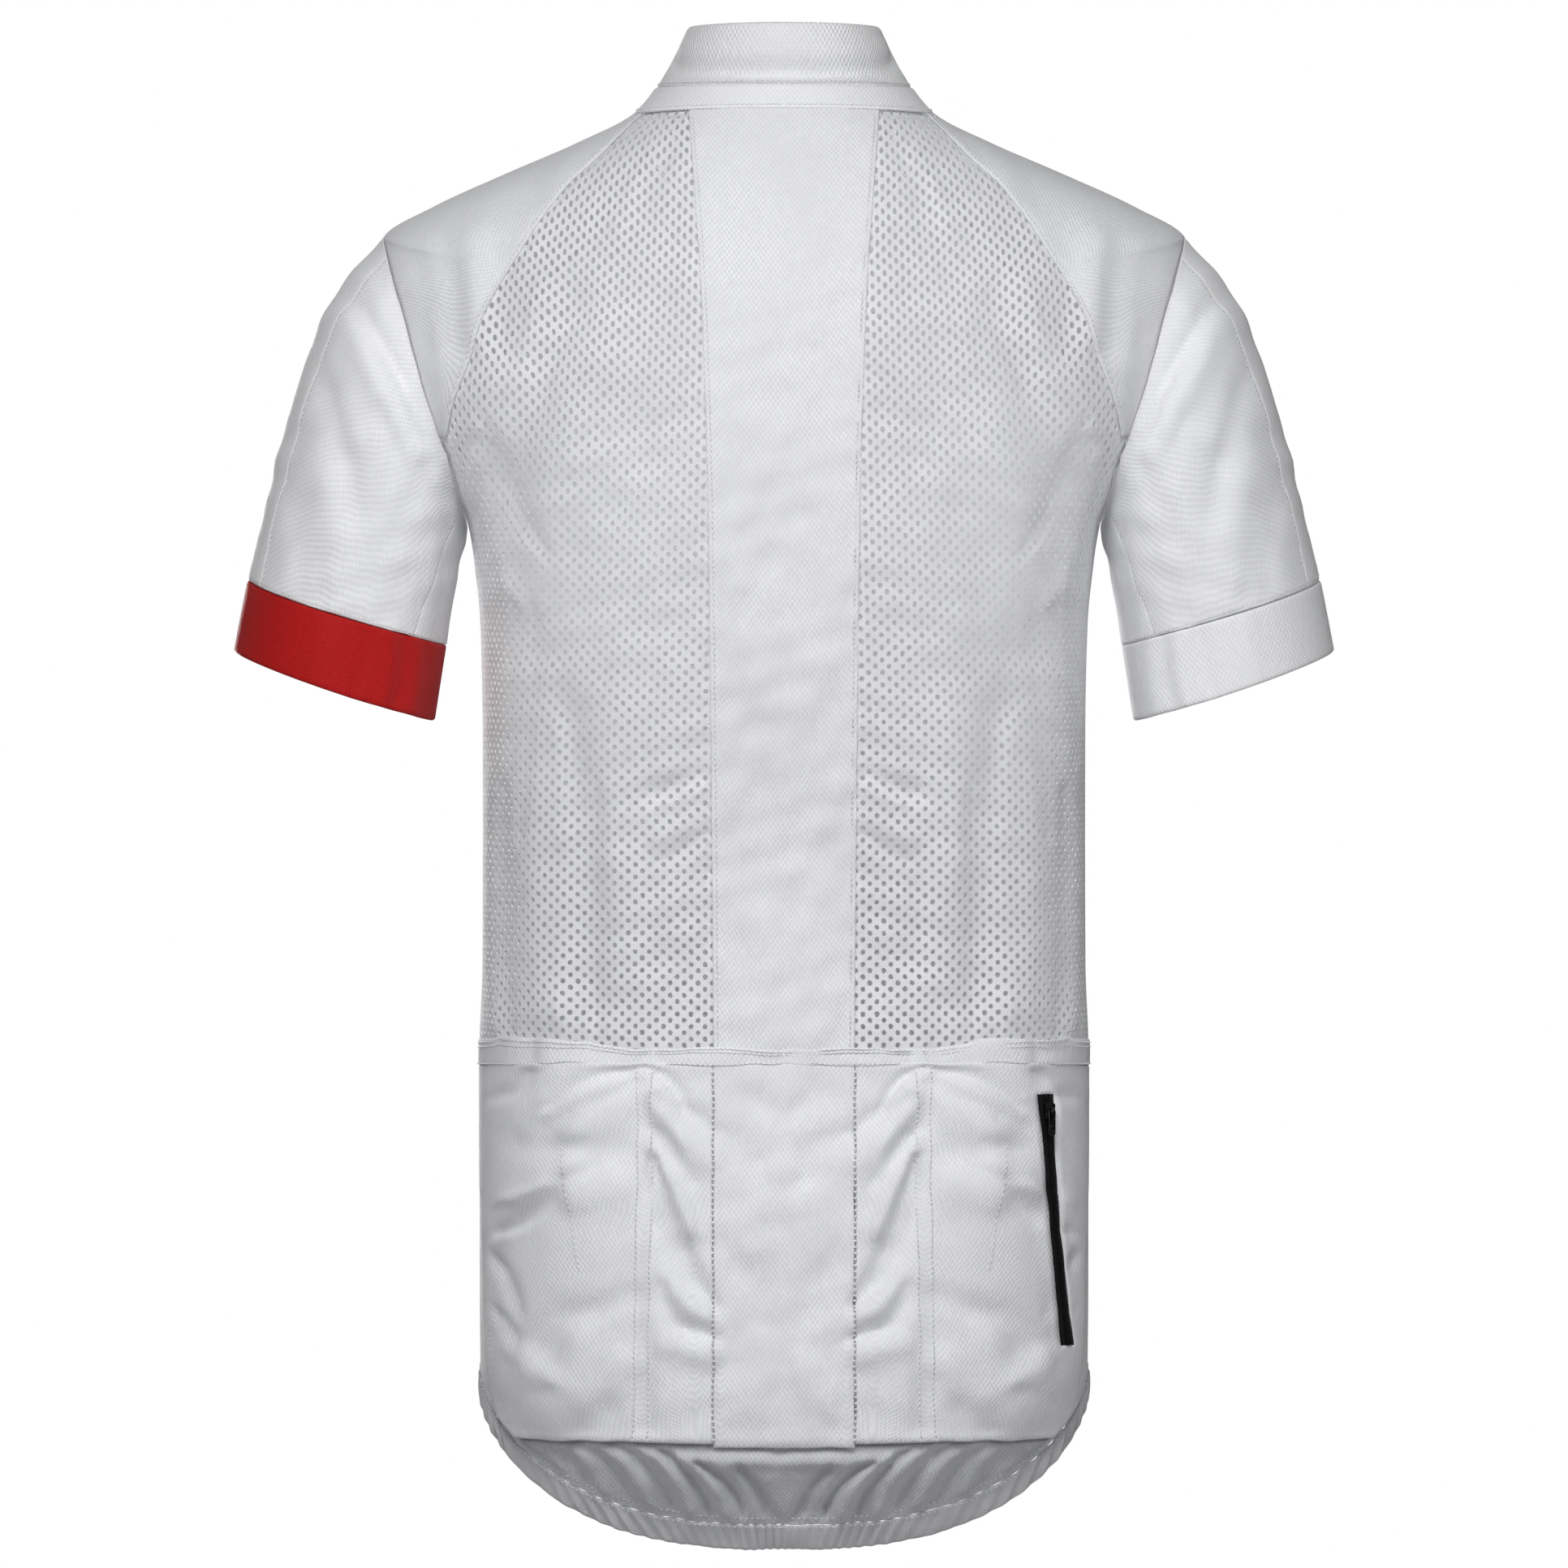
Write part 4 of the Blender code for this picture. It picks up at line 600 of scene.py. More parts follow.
    def angle_at_length(self, length: np.ndarray, level: np.ndarray) -> np.ndarray:
        """Angle at which a ring is this long, measured from the centre back."""
        row = np.interp(level, self.ring_levels, np.arange(len(self.ring_levels)))
        low = np.clip(row.astype(int), 0, len(self.ring_levels) - 2)
        share = row - low
        angle = np.empty_like(length)
        for at in np.unique(low):
            here = low == at
            first, second = (
                np.interp(length[here], self.ring_lengths[at + k], self.ring_angles)
                for k in (0, 1)
            )
            angle[here] = first * (1 - share[here]) + second * share[here]
        return angle

    def level_at(self, angle: np.ndarray, z: np.ndarray) -> np.ndarray:
        """Level at which the form reaches a height, at each angle."""
        angle, z = same_shape(angle, z)
        return halve(np.zeros_like(angle), np.full_like(angle, LAST_LEVEL),
                     lambda middle: self.plain(angle, middle)[..., 2] <= z, 30)

    def front_level(self, z: float, first: float) -> float:
        """Level at which the middle of the front reaches a height, searched from first down."""
        probe = np.linspace(first, level_of(HEM_SEAM), 400)
        return float(np.interp(-z, -self.plain(math.pi, probe)[:, 2], probe))

    def place_on_back(self, x: np.ndarray, z: np.ndarray) -> tuple[np.ndarray, np.ndarray]:
        """Angle and level of places of the back view."""
        x, z = same_shape(x, z)
        angle = np.arcsin(np.clip(x / 150.0, -1, 1))
        for _ in range(10):
            level = self.level_at(angle, z)
            angle = self.angle_where(level, lambda p: p[..., 0] >= x, 0.0, math.pi / 2)
        return angle, level


FORM = BodyForm()


class SleeveForm(ClothForm):
    """The wearer's left sleeve and cuff, hung on the armhole of the body form."""

    steps = (0.05, 0.006)
    end = CUFF_END
    facing = -1.0

    def __init__(self) -> None:
        """Read the ring at the armhole once, at close columns."""
        self.knots = [ring.reach for ring in SLEEVE_RINGS]
        self.loop_columns = np.linspace(0, 2 * ARMHOLE_COLUMNS, 1201)
        front = self.loop_columns > ARMHOLE_COLUMNS
        from_top = np.where(front, 2 * ARMHOLE_COLUMNS - self.loop_columns, self.loop_columns)
        back_angle, level = FORM.arm_edge(from_top, False)
        front_angle, _ = FORM.arm_edge(from_top, True)
        self.loop_points = FORM.cloth(np.where(front, front_angle, back_angle), level)

    def plain(self, column: np.ndarray, reach: np.ndarray) -> np.ndarray:
        """Points of the sleeve before its folds."""
        column = np.mod(column, 2 * ARMHOLE_COLUMNS)
        loop = read_line(column, self.loop_columns, self.loop_points)
        first = SLEEVE_RINGS[0]
        outer0 = np.array([first.outer_x, 0, first.outer_z])
        inner0 = np.array([first.inner_x, 0, first.inner_z])
        centre0, arm0 = (outer0 + inner0) / 2, (outer0 - inner0) / 2
        height = (loop - centre0) @ arm0 / (arm0 @ arm0)
        front = column > ARMHOLE_COLUMNS
        turn0 = np.arccos(np.clip(height, -1, 1))
        turn0 = np.where(front, 2 * math.pi - turn0, turn0)
        from_top = np.where(front, 2 * ARMHOLE_COLUMNS - column, column)
        cuff = np.interp(from_top, [0, TOP_SEAM, UNDER_SEAM, ARMHOLE_COLUMNS],
                         np.radians(CUFF_TURNS))
        cuff = np.where(front, 2 * math.pi - cuff, cuff)
        share = np.clip(reach / CUFF_REACH, 0, 1)
        turn = turn0 * (1 - share) + cuff * share
        bow = SLEEVE_BOW * np.sin(math.pi * column / ARMHOLE_COLUMNS) * share**2
        rings = pchip(self.knots, SLEEVE_RINGS, reach + bow)
        zero = np.zeros_like(reach)
        outer = np.stack([rings[..., 1], zero, rings[..., 2]], axis=-1)
        inner = np.stack([rings[..., 3], zero, rings[..., 4]], axis=-1)
        centre, arm = (outer + inner) / 2, (outer - inner) / 2
        side = np.stack([zero, rings[..., 5], zero], axis=-1)
        points = centre + np.cos(turn)[..., None] * arm + np.sin(turn)[..., None] * side
        start = (centre0 + np.cos(turn0)[..., None] * arm0
                 + np.sin(turn0)[..., None] * np.array([0, first.depth, 0]))
        fade = np.clip(1 - reach / ARMHOLE_BLEND, 0, 1) ** 2
        off = np.clip(1 - reach / 0.04, 0, 1)
        return points + fade[..., None] * (loop - start) + off[..., None] * OFF_ARMHOLE

    def folded(self, column: np.ndarray, reach: np.ndarray) -> np.ndarray:
        """Points of the sleeve with its folds and creases."""
        points = self.plain(column, reach)
        x, z = points[..., 0], points[..., 2]
        side = np.abs(points[..., 1]) / 60.0
        rise = crease_rise(SLEEVE_FOLDS + SLEEVE_CREASES, x, z)
        on_cuff = reach > CUFF_REACH
        rise = np.where(on_cuff, crease_rise(CUFF_CREASES, x, z), rise)
        rise = rise * np.clip(side, 0, 1) ** 1.5 * np.clip(reach / FOLDS_FROM, 0, 1)
        rise = rise + soft_rise(x + 70, z) * np.clip(reach / FOLDS_FROM, 0, 1) * ~on_cuff
        return points + self.directions(self.plain, column, reach) * rise[..., None]


SLEEVE = SleeveForm()


# Distances of the close columns from a border
NEAR_EDGE = (0.35, 1.1)


def edge_shares(lengths: np.ndarray, cells: int) -> np.ndarray:
    """Shares from one border to the other, with close columns beside both.

    Args:
        lengths: how long each row is, in millimetres.
        cells: number of even cells between the close ones.

    Returns:
        One row of shares for each length.
    """
    lengths = np.asarray(lengths, float).reshape(-1, 1)
    close = np.array([0.0, *NEAR_EDGE])[None, :] / np.maximum(lengths, 3 * NEAR_EDGE[-1])
    inner = close[:, -1:] + (1 - 2 * close[:, -1:]) * np.linspace(0, 1, cells + 1)[None, :]
    return np.concatenate([close[:, :-1], inner, 1 - close[:, -2::-1]], axis=1)


def edge_drop(distance: np.ndarray, depth: float, width: float = 1.1) -> np.ndarray:
    """How far a rounded edge sinks at each distance from it."""
    return -depth * np.clip(1 - distance / width, 0, 1) ** 2


@dataclass
class ClothNet:
    """Rows and columns of points on a piece of cloth, outer side up."""

    points: np.ndarray
    left_out: Optional[Callable[[int, int], bool]] = None
    closed: bool = False

    def mirrored(self) -> "ClothNet":
        """The same piece on the wearer's right."""
        end = self.points.shape[1] - 2
        left_out = self.left_out and (lambda row, column: self.left_out(row, end - column))
        return ClothNet(self.points[:, ::-1] * MIRROR, left_out, self.closed)

    def turned(self) -> "ClothNet":
        """The net with its columns turned round, so that its outer side is up."""
        return ClothNet(self.points[:, ::-1], self.left_out, self.closed)

    def lengths(self) -> tuple[np.ndarray, np.ndarray]:
        """Length along each row and along each column, at every point."""
        across = np.linalg.norm(np.diff(self.points, axis=1), axis=-1)
        down = np.linalg.norm(np.diff(self.points, axis=0), axis=-1)
        across = np.concatenate([np.zeros((len(across), 1)), np.cumsum(across, axis=1)], axis=1)
        down = np.concatenate([np.zeros((1, down.shape[1])), np.cumsum(down, axis=0)], axis=0)
        return across, down

    def to_mesh(self, name: str) -> bpy.types.Mesh:
        """Mesh of the net, with its cloth lengths in metres as UV map."""
        rows, columns = self.points.shape[0] - 1, self.points.shape[1] - 1
        grid = bmesh.new()
        bmesh.ops.create_grid(grid, x_segments=columns, y_segments=rows, size=1.0)
        across, down = self.lengths()
        u = (across - across[:, -1:] / 2) * MM
        cloth_map = grid.loops.layers.uv.new("cloth")
        grid.verts.ensure_lookup_table()
        flat = self.points.reshape(-1, 3) * MM
        u, v = u.ravel(), -down.ravel() * MM
        for face in grid.faces:
            for loop in face.loops:
                index = loop.vert.index
                loop[cloth_map].uv = (u[index], v[index])
        if self.left_out:
            open_cells = []
            for face in grid.faces:
                first = min(vert.index for vert in face.verts)
                if self.left_out(first // (columns + 1), first % (columns + 1)):
                    open_cells.append(face)
        for vert, place in zip(grid.verts, flat):
            vert.co = place
        if self.left_out:
            bmesh.ops.delete(grid, geom=open_cells, context="FACES")
        if self.closed:
            bmesh.ops.remove_doubles(grid, verts=grid.verts, dist=1e-6)
        return mesh_of(name, grid)


class Slot(Enum):
    """Material slots of the record."""

    KNIT = "white_knit"
    MESH = "white_mesh"
    ELASTIC = "white_elastic"
    RED = "red_knit"
    TAPE = "black_zip_tape"
    SLIDER = "black_slider"


def mesh_of(name: str, shape: bmesh.types.BMesh) -> bpy.types.Mesh:
    """Mesh made of a bmesh, which is freed."""
    data = bpy.data.meshes.new(name)
    shape.to_mesh(data)
    shape.free()
    return data


def linked(name: str, data: bpy.types.ID) -> bpy.types.Object:
    """Object at the origin, linked to the scene."""
    obj = bpy.data.objects.new(name, data)
    bpy.context.scene.collection.objects.link(obj)
    return obj


def add_object(data: bpy.types.Mesh, finish: "Finish",
               body: str = BODY) -> bpy.types.Object:
    """Object named as its mesh that rides on a body, with its finish."""
    obj = linked(data.name, data)
    data.materials.append(finish.material())
    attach(obj, body)
    return obj


def add_cloth(data: bpy.types.Mesh, node: str, thickness: float, finish: "Finish") -> bpy.types.Object:
    """Piece of cloth, given its thickness inwards, in place of its solid.

    Args:
        data: its outer side.
        node: solid that it stands for.
        thickness: thickness in millimetres.
        finish: its finish.

    Returns:
        The finished object.
    """
    obj = add_object(data, finish)
    shell = obj.modifiers.new("Thickness", "SOLIDIFY")
    shell.thickness = thickness * MM
    shell.offset = -1.0
    shell.use_even_offset = False
    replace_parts(obj, node)
    return obj


def add_sheet(node: str, net: ClothNet, thickness: float, finish: "Finish",
              name: str = "") -> bpy.types.Object:
    """Piece of cloth made of a net, named after its solid where no name is given."""
    data = net.to_mesh(name or f"{node}_cloth")
    data.shade_smooth()
    return add_cloth(data, node, thickness, finish)


class Tree:
    """Short hand for laying out the nodes of one shader tree."""

    def __init__(self, tree: bpy.types.NodeTree) -> None:
        """Keep the tree."""
        self.tree = tree

    def node(self, kind: str, **settings: Any) -> bpy.types.Node:
        """Add a node and set its properties."""
        node = self.tree.nodes.new(kind)
        for key, value in settings.items():
            setattr(node, key, value)
        return node

    def feed(self, inputs: Any, values: dict) -> None:
        """Link outputs to inputs, given by name or number, or set the inputs' values."""
        for key, value in values.items():
            if isinstance(value, bpy.types.NodeSocket):
                self.tree.links.new(value, inputs[key])
            else:
                inputs[key].default_value = value

    def fed(self, kind: str, values: dict, **settings: Any) -> bpy.types.NodeOutputs:
        """Outputs of a new node whose properties are set and whose inputs are fed."""
        node = self.node(kind, **settings)
        self.feed(node.inputs, values)
        return node.outputs

    def maths(self, operation: str, *values: Any) -> bpy.types.NodeSocket:
        """Result of a Math node."""
        return self.fed("ShaderNodeMath", dict(enumerate(values)), operation=operation)[0]

    def noise(self, vector: Any, scale: float, detail: float,
              roughness: float = 0.5) -> bpy.types.NodeSocket:
        """Factor of a noise texture."""
        return self.fed("ShaderNodeTexNoise", {
            "Vector": vector, "Scale": scale, "Detail": detail, "Roughness": roughness})[0]

    def vector(self, *values: Any) -> bpy.types.NodeSocket:
        """Vector of up to three values."""
        return self.fed("ShaderNodeCombineXYZ", dict(enumerate(values)))[0]

    def mix(self, share: Any, first: Any, second: Any) -> bpy.types.NodeSocket:
        """Colour between two colours."""
        return self.fed("ShaderNodeMix", {"Factor": share, "A": first, "B": second},
                        data_type="RGBA")["Result"]

    def place(self) -> bpy.types.NodeSocket:
        """Place on the piece, in its own coordinates."""
        return self.node("ShaderNodeTexCoord").outputs["Object"]

    def bump(self, height: Any, distance: float,
             strength: float = 1.0) -> bpy.types.NodeSocket:
        """Normal of a relief."""
        return self.fed("ShaderNodeBump", {
            "Strength": strength, "Distance": distance, "Height": height})[0]

    def spread(self, value: Any, low: float, high: float, to_low: float,
               to_high: float) -> bpy.types.NodeSocket:
        """Value carried from one range to another."""
        return self.fed("ShaderNodeMapRange", {
            "Value": value, "From Min": low, "From Max": high, "To Min": to_low,
            "To Max": to_high})["Result"]


def new_group(name: str, inputs: dict, outputs: Sequence[str]) -> tuple[Tree, dict, dict]:
    """Empty shader node group with named sockets.

    Args:
        name: name of the group.
        inputs: socket types by name.
        outputs: names of its float outputs.

    Returns:
        The tree, the outputs of its Group Input and the inputs of its Group Output.
    """
    group = bpy.data.node_groups.new(name, "ShaderNodeTree")
    for key, kind in inputs.items():
        group.interface.new_socket(name=key, in_out="INPUT", socket_type=kind)
    for key in outputs:
        group.interface.new_socket(name=key, in_out="OUTPUT", socket_type="NodeSocketFloat")
    tree = Tree(group)
    entry = tree.node("NodeGroupInput")
    end = tree.node("NodeGroupOutput")
    return tree, entry.outputs, end.inputs


@cache
def knit_group() -> bpy.types.NodeTree:
    """Fine warp knit: upright stitches in columns, uneven as real yarn is."""
    kinds = {"Place": "NodeSocketVector", "Wale": "NodeSocketFloat", "Course": "NodeSocketFloat"}
    tree, given, result = new_group("knit_stitches", kinds, ("Height", "Shade"))
    split = tree.fed("ShaderNodeSeparateXYZ", {0: given["Place"]})
    across = tree.maths("DIVIDE", split[0], given["Wale"])
    down = tree.maths("DIVIDE", split[1], given["Course"])
    wale = tree.maths("SINE", tree.maths("MULTIPLY", across, 2 * math.pi))
    course = tree.maths("SINE", tree.maths("MULTIPLY", down, 2 * math.pi))
    loops = tree.maths("MULTIPLY", wale, course)
    place = tree.vector(tree.maths("MULTIPLY", across, 0.55), tree.maths("MULTIPLY", down, 0.42))
    uneven = tree.noise(place, 1.6, 2.0, 0.6)
    raised = tree.maths("ADD", loops, tree.maths("MULTIPLY", uneven, 1.6))
    tree.feed(result, {"Height": raised, "Shade": tree.spread(raised, 0.0, 1.5, 0.0, 1.0)})
    return tree.tree


@cache
def mottle_group() -> bpy.types.NodeTree:
    """Broad faint clouds, as on cloth that has been handled and washed."""
    tree, given, result = new_group("cloth_mottle", {"Place": "NodeSocketVector"}, ("Cloud",))
    broad = tree.noise(given["Place"], 22.0, 2.0)
    fine = tree.noise(given["Place"], 160.0, 3.0, 0.6)
    cloud = tree.maths("ADD", tree.maths("MULTIPLY", broad, 0.7), tree.maths("MULTIPLY", fine, 0.3))
    tree.feed(result, {"Cloud": tree.spread(cloud, 0.38, 0.62, 0.0, 1.0)})
    return tree.tree


def tint(colour: Sequence[float], share: float = 1.0) -> tuple[float, ...]:
    """Opaque colour, darkened to a share of itself."""
    return (*(value * share for value in colour), 1.0)


@dataclass(frozen=True)
class Finish:
    """A surface finish; each kind builds its own shader once."""

    name: str
    colour: tuple[float, float, float]
    roughness: float

    @cache
    def material(self) -> bpy.types.Material:
        """The finish's material, made on first use."""
        made = bpy.data.materials.new(f"{self.name}_finish")
        made.use_nodes = True
        shader = made.node_tree.nodes["Principled BSDF"]
        shader.inputs["Roughness"].default_value = self.roughness
        self.dress(Tree(made.node_tree), shader.inputs)
        return made

    def dress(self, tree: Tree, shader: Any) -> None:
        """Lay out the nodes that feed the shader."""
        raise NotImplementedError


@dataclass(frozen=True)
class Knit(Finish):
    """Knitted polyester: stitch columns, faint clouds, a soft sheen."""

    wale: float = 0.0024
    course: float = 0.0034
    relief: float = 0.00010
    contrast: float = 0.17
    clouds: float = 0.14
    sheen: float = 0.12

    def dress(self, tree: Tree, shader: Any) -> None:
        """Stitches in colour and relief, over faint clouds."""
        cloth_map = tree.node("ShaderNodeUVMap", uv_map="cloth").outputs[0]
        stitches = tree.fed("ShaderNodeGroup", {
            "Place": cloth_map, "Wale": self.wale, "Course": self.course}, node_tree=knit_group())
        clouds = tree.fed("ShaderNodeGroup", {"Place": tree.place()}, node_tree=mottle_group())
        light = tree.mix(stitches["Shade"], tint(self.colour, 1 - self.contrast),
                         tint(self.colour))
        cloudy = tree.mix(tree.maths("MULTIPLY", clouds["Cloud"], 0.7), light,
                          tint(self.colour, 1 - self.clouds))
        tree.feed(shader, {
            "Base Color": cloudy, "Normal": tree.bump(stitches["Height"], self.relief),
            "Sheen Weight": self.sheen, "Sheen Roughness": 0.45, "Specular IOR Level": 0.25})


@dataclass(frozen=True)
class Yarn(Finish):
    """Sewing thread and zip coil: a fine grain."""

    grain: float = 2600.0
    sheen: float = 0.1

    def dress(self, tree: Tree, shader: Any) -> None:
        """Grain in colour and relief."""
        grain = tree.noise(tree.place(), self.grain, 2.0)
        tree.feed(shader, {
            "Base Color": tree.mix(grain, tint(self.colour, 0.8), tint(self.colour)),
            "Normal": tree.bump(grain, 0.00008, 0.5), "Sheen Weight": self.sheen,
            "Specular IOR Level": 0.15})


@dataclass(frozen=True)
class Lacquer(Finish):
    """Satin lacquer on die-cast metal, rubbed a little in patches."""

    bare: tuple[float, float, float] = (0.10, 0.10, 0.11)

    def dress(self, tree: Tree, shader: Any) -> None:
        """Fine orange peel, and rubbed patches."""
        peel = tree.noise(tree.place(), 1800.0, 2.0)
        rubbed = tree.spread(tree.noise(tree.place(), 420.0, 3.0), 0.58, 0.72, 0, 1)
        uneven = tree.spread(peel, 0.3, 0.7, self.roughness - 0.06, self.roughness + 0.08)
        tree.feed(shader, {
            "Base Color": tree.mix(rubbed, tint(self.colour), tint(self.bare)),
            "Roughness": uneven, "Metallic": 0.7, "Coat Weight": 0.3})


@dataclass(frozen=True)
class Floor(Finish):
    """Pale matt studio floor."""

    def dress(self, tree: Tree, shader: Any) -> None:
        """Barely uneven tone."""
        cloud = tree.noise(tree.place(), 1.5, 2.0)
        seen = tree.node("ShaderNodeLightPath").outputs["Is Camera Ray"]
        tree.feed(shader, {
            "Base Color": tree.mix(cloud, tint(self.colour, 0.97), tint(self.colour)),
            "Emission Color": tree.mix(seen, (0.0, 0.0, 0.0, 1.0), tint(self.colour, 0.72)),
            "Emission Strength": 1.0})


WHITE_KNIT = Knit("white_knit", (0.975, 0.98, 1.0), 0.72, clouds=0.09)
PANEL_KNIT = Knit("back_panel_knit", (0.92, 0.925, 0.955), 0.72)
# The lower back is the same white knit, darkened: painted shade for the tail that turns in under the
# pockets
SHADED_LOWER_KNIT = Knit("lower_back_painted_shade_knit", (0.68, 0.686, 0.72), 0.72)
SHOULDER_KNIT = Knit("shoulder_knit", (0.93, 0.937, 0.965), 0.74, wale=0.0026, course=0.0024,
                     contrast=0.22)
COLLAR_KNIT = Knit("collar_rib_knit", (0.96, 0.965, 0.985), 0.75, course=0.0044,
                   relief=0.0002, contrast=0.13)
MESH_KNIT = Knit("white_mesh_knit", (0.93, 0.935, 0.955), 0.70, wale=0.0010, course=0.0013,
                 contrast=0.10)
# The elastic's knit is greyer than the white knit: partly its own tone, partly painted shade of the
# hem under the tail
ELASTIC_SHADED_KNIT = Knit("white_elastic_shaded_knit", (0.79, 0.795, 0.82), 0.66, wale=0.0008,
                    course=0.0024, relief=0.00014, contrast=0.10)
RED_KNIT = Knit("red_cuff_knit", (0.56, 0.004, 0.004), 0.62, wale=0.0010, course=0.0014,
                contrast=0.16, sheen=0.05)
TAPE_KNIT = Knit("black_zip_tape", (0.004, 0.004, 0.0045), 0.80, wale=0.0006, course=0.0012,
                 contrast=0.5, sheen=0.03)
WHITE_THREAD = Yarn("white_thread", (0.93, 0.935, 0.95), 0.5)
# Grey dashes between the stitches: the needle's holes, darkened as painted shade in the gaps between
# thread dashes
STITCH_SHADE_YARN = Yarn("stitch_shade_yarn", (0.50, 0.505, 0.52), 0.8)
BLACK_COIL = Yarn("black_zip_coil", (0.004, 0.004, 0.0045), 0.6, sheen=0.0)
BLACK_LACQUER = Lacquer("black_lacquer", (0.010, 0.010, 0.011), 0.32)
PALE_FLOOR = Floor("pale_floor", (0.86, 0.86, 0.87), 0.8)


class Stitching:
    """Rows of thread dashes, joined into one mesh for each part of the garment."""

    THREAD_SIDES = 6
    SHADE_DASH_SIDES = 4
    BATCH = 24

    def __init__(self, name: str, finish: Finish = WHITE_THREAD, slot: Slot = Slot.KNIT) -> None:
        """Start an empty mesh."""
        self.name = name
        self.finish = finish
        self.slot = slot
        self.mesh = bmesh.new()
        # Mesh of the grey dashes between the stitches: the needle's holes, darkened as painted shade
        self.holes = bmesh.new()

    def row(self, points: np.ndarray, out: np.ndarray, pitch: float = 2.5,
            length: float = 1.5, radius: float = 0.42) -> None:
        """Sew one row along points, whose outward directions are given, and its mirror image.

        Args:
            points: places along the row, in millimetres.
            out: outward directions there.
            pitch: distance from dash to dash.
            length: length of a dash.
            radius: half the thread's thickness.
        """
        along = running_length(points)
        count = max(int(along[-1] / pitch), 1)
        spots = (np.arange(count) + 0.5) * along[-1] / count
        place = read_line(spots, along, points)
        normal = unit(read_line(spots, along, out))
        run = unit(read_line(spots + 0.4, along, points) - read_line(spots - 0.4, along, points))
        dashes = []
        for sign in (1, -1):
            for centre, up, forward in zip(place, normal, run):
                side = Vector(np.cross(forward, up)).normalized()
                axes = (side * radius, Vector(up) * radius * 0.75, Vector(forward) * length / 2)
                turned = Matrix(axes).transposed().to_4x4()
                turned.translation = Vector(centre + up * radius * 0.35)
                dashes.append(Matrix.Diagonal((sign * MM, MM, MM, 1.0)) @ turned)
        self.add(dashes, self.mesh, self.THREAD_SIDES)
        # Grey dashes halfway between the thread dashes: painted shade in the gaps between stitches
        shade_dash_place = Matrix.Translation((0.0, -0.5, pitch / length)) @ Matrix.Diagonal(
            (0.7, 0.8, 0.45, 1.0))
        self.add([dash @ shade_dash_place for dash in dashes], self.holes, self.SHADE_DASH_SIDES)

    def add(self, dashes: Sequence[Matrix], mesh: bmesh.types.BMesh, sides: int) -> None:
        """Add one small ellipsoid for each matrix, a few at a time because that is fast."""
        for first in range(0, len(dashes), self.BATCH):
            few = bmesh.new()
            for matrix in dashes[first : first + self.BATCH]:
                bmesh.ops.create_uvsphere(few, u_segments=sides, v_segments=3, radius=1.0,
                                          matrix=matrix)
            data = mesh_of("few_dashes", few)
            mesh.from_mesh(data)
            bpy.data.meshes.remove(data)

    def trunk_row(self, angle: np.ndarray, level: np.ndarray,
                  lift: np.ndarray | float = 0.0, **how: float) -> None:
        """Sew a row along angles and levels of the trunk."""
        self.row(FORM.cloth(angle, level, lift), FORM.out(angle, level), **how)

    def coil(self, line: np.ndarray, out: np.ndarray, middle: np.ndarray,
             pitch: float = 1.3) -> None:
        """Add the coil loops of one side of a zip.

        Args:
            line: places along this side of the coil.
            out: outward directions there.
            middle: places along the zip's middle line.
            pitch: distance from loop to loop.
        """
        along = running_length(line)
        loops = []
        for spot in np.arange(pitch / 2, along[-1], pitch):
            place, up, centre = (read_line(spot, along, table) for table in (line, out, middle))
            across = centre - place
            half = np.linalg.norm(across) * 0.75
            across, up = Vector(across).normalized(), Vector(up).normalized()
            axes = (across.cross(up) * 0.42, up * 0.5, across * half)
            turned = Matrix(axes).transposed().to_4x4()
            turned.translation = Vector(place) + up * 0.25
            loops.append(Matrix.Diagonal((MM, MM, MM, 1.0)) @ turned)
        self.add(loops, self.mesh, self.THREAD_SIDES)

    def finish_piece(self) -> None:
        """Close the thread's mesh and that of the grey dashes between the stitches, which are painted
        shade, and make the pieces.
        """
        for name, mesh, finish in ((self.name, self.mesh, self.finish),
                                   (f"{self.name}_stitch_shade", self.holes, STITCH_SHADE_YARN)):
            if not mesh.faces:
                mesh.free()
                continue
            bmesh.ops.recalc_face_normals(mesh, faces=mesh.faces)
            data = mesh_of(name, mesh)
            data.shade_smooth()
            add_object(data, finish)
            LOG.info("%s: %d faces", name, len(data.polygons))


def panel(left: np.ndarray, right: np.ndarray, levels: np.ndarray, cells: int,
          lift: Optional[Callable] = None, drop: float = 0.45) -> ClothNet:
    """Net on the trunk between two borders.

    Args:
        left: angle of the left border at each level.
        right: angle of the right border.
        levels: levels of the rows.
        cells: even cells across.
        lift: how far the cloth lies off the form at an array of points.
        drop: how far its side edges sink.

    Returns:
        The net.
    """
    first, last = FORM.plain(left, levels), FORM.plain(right, levels)
    width = np.maximum(np.linalg.norm(last - first, axis=-1), 1.0)
    shares = edge_shares(width, cells)
    angle = left[:, None] * (1 - shares) + right[:, None] * shares
    level = levels[:, None]
    rise = np.zeros_like(angle)
    if lift:
        points = FORM.plain(angle, level)
        rise = rise + lift(points[..., 0], points[..., 2], angle)
    distance = np.minimum(shares, 1 - shares) * width[:, None]
    rise = rise + edge_drop(distance, drop)
    return ClothNet(FORM.cloth(angle, level, rise))


def rows_between(top: float, foot: float, pitch: float) -> np.ndarray:
    """Levels from one to another, with close rows at both ends."""
    cells = max(int(round((foot - top) / pitch)), 2)
    return top + (foot - top) * edge_shares(np.array([foot - top]), cells)[0]


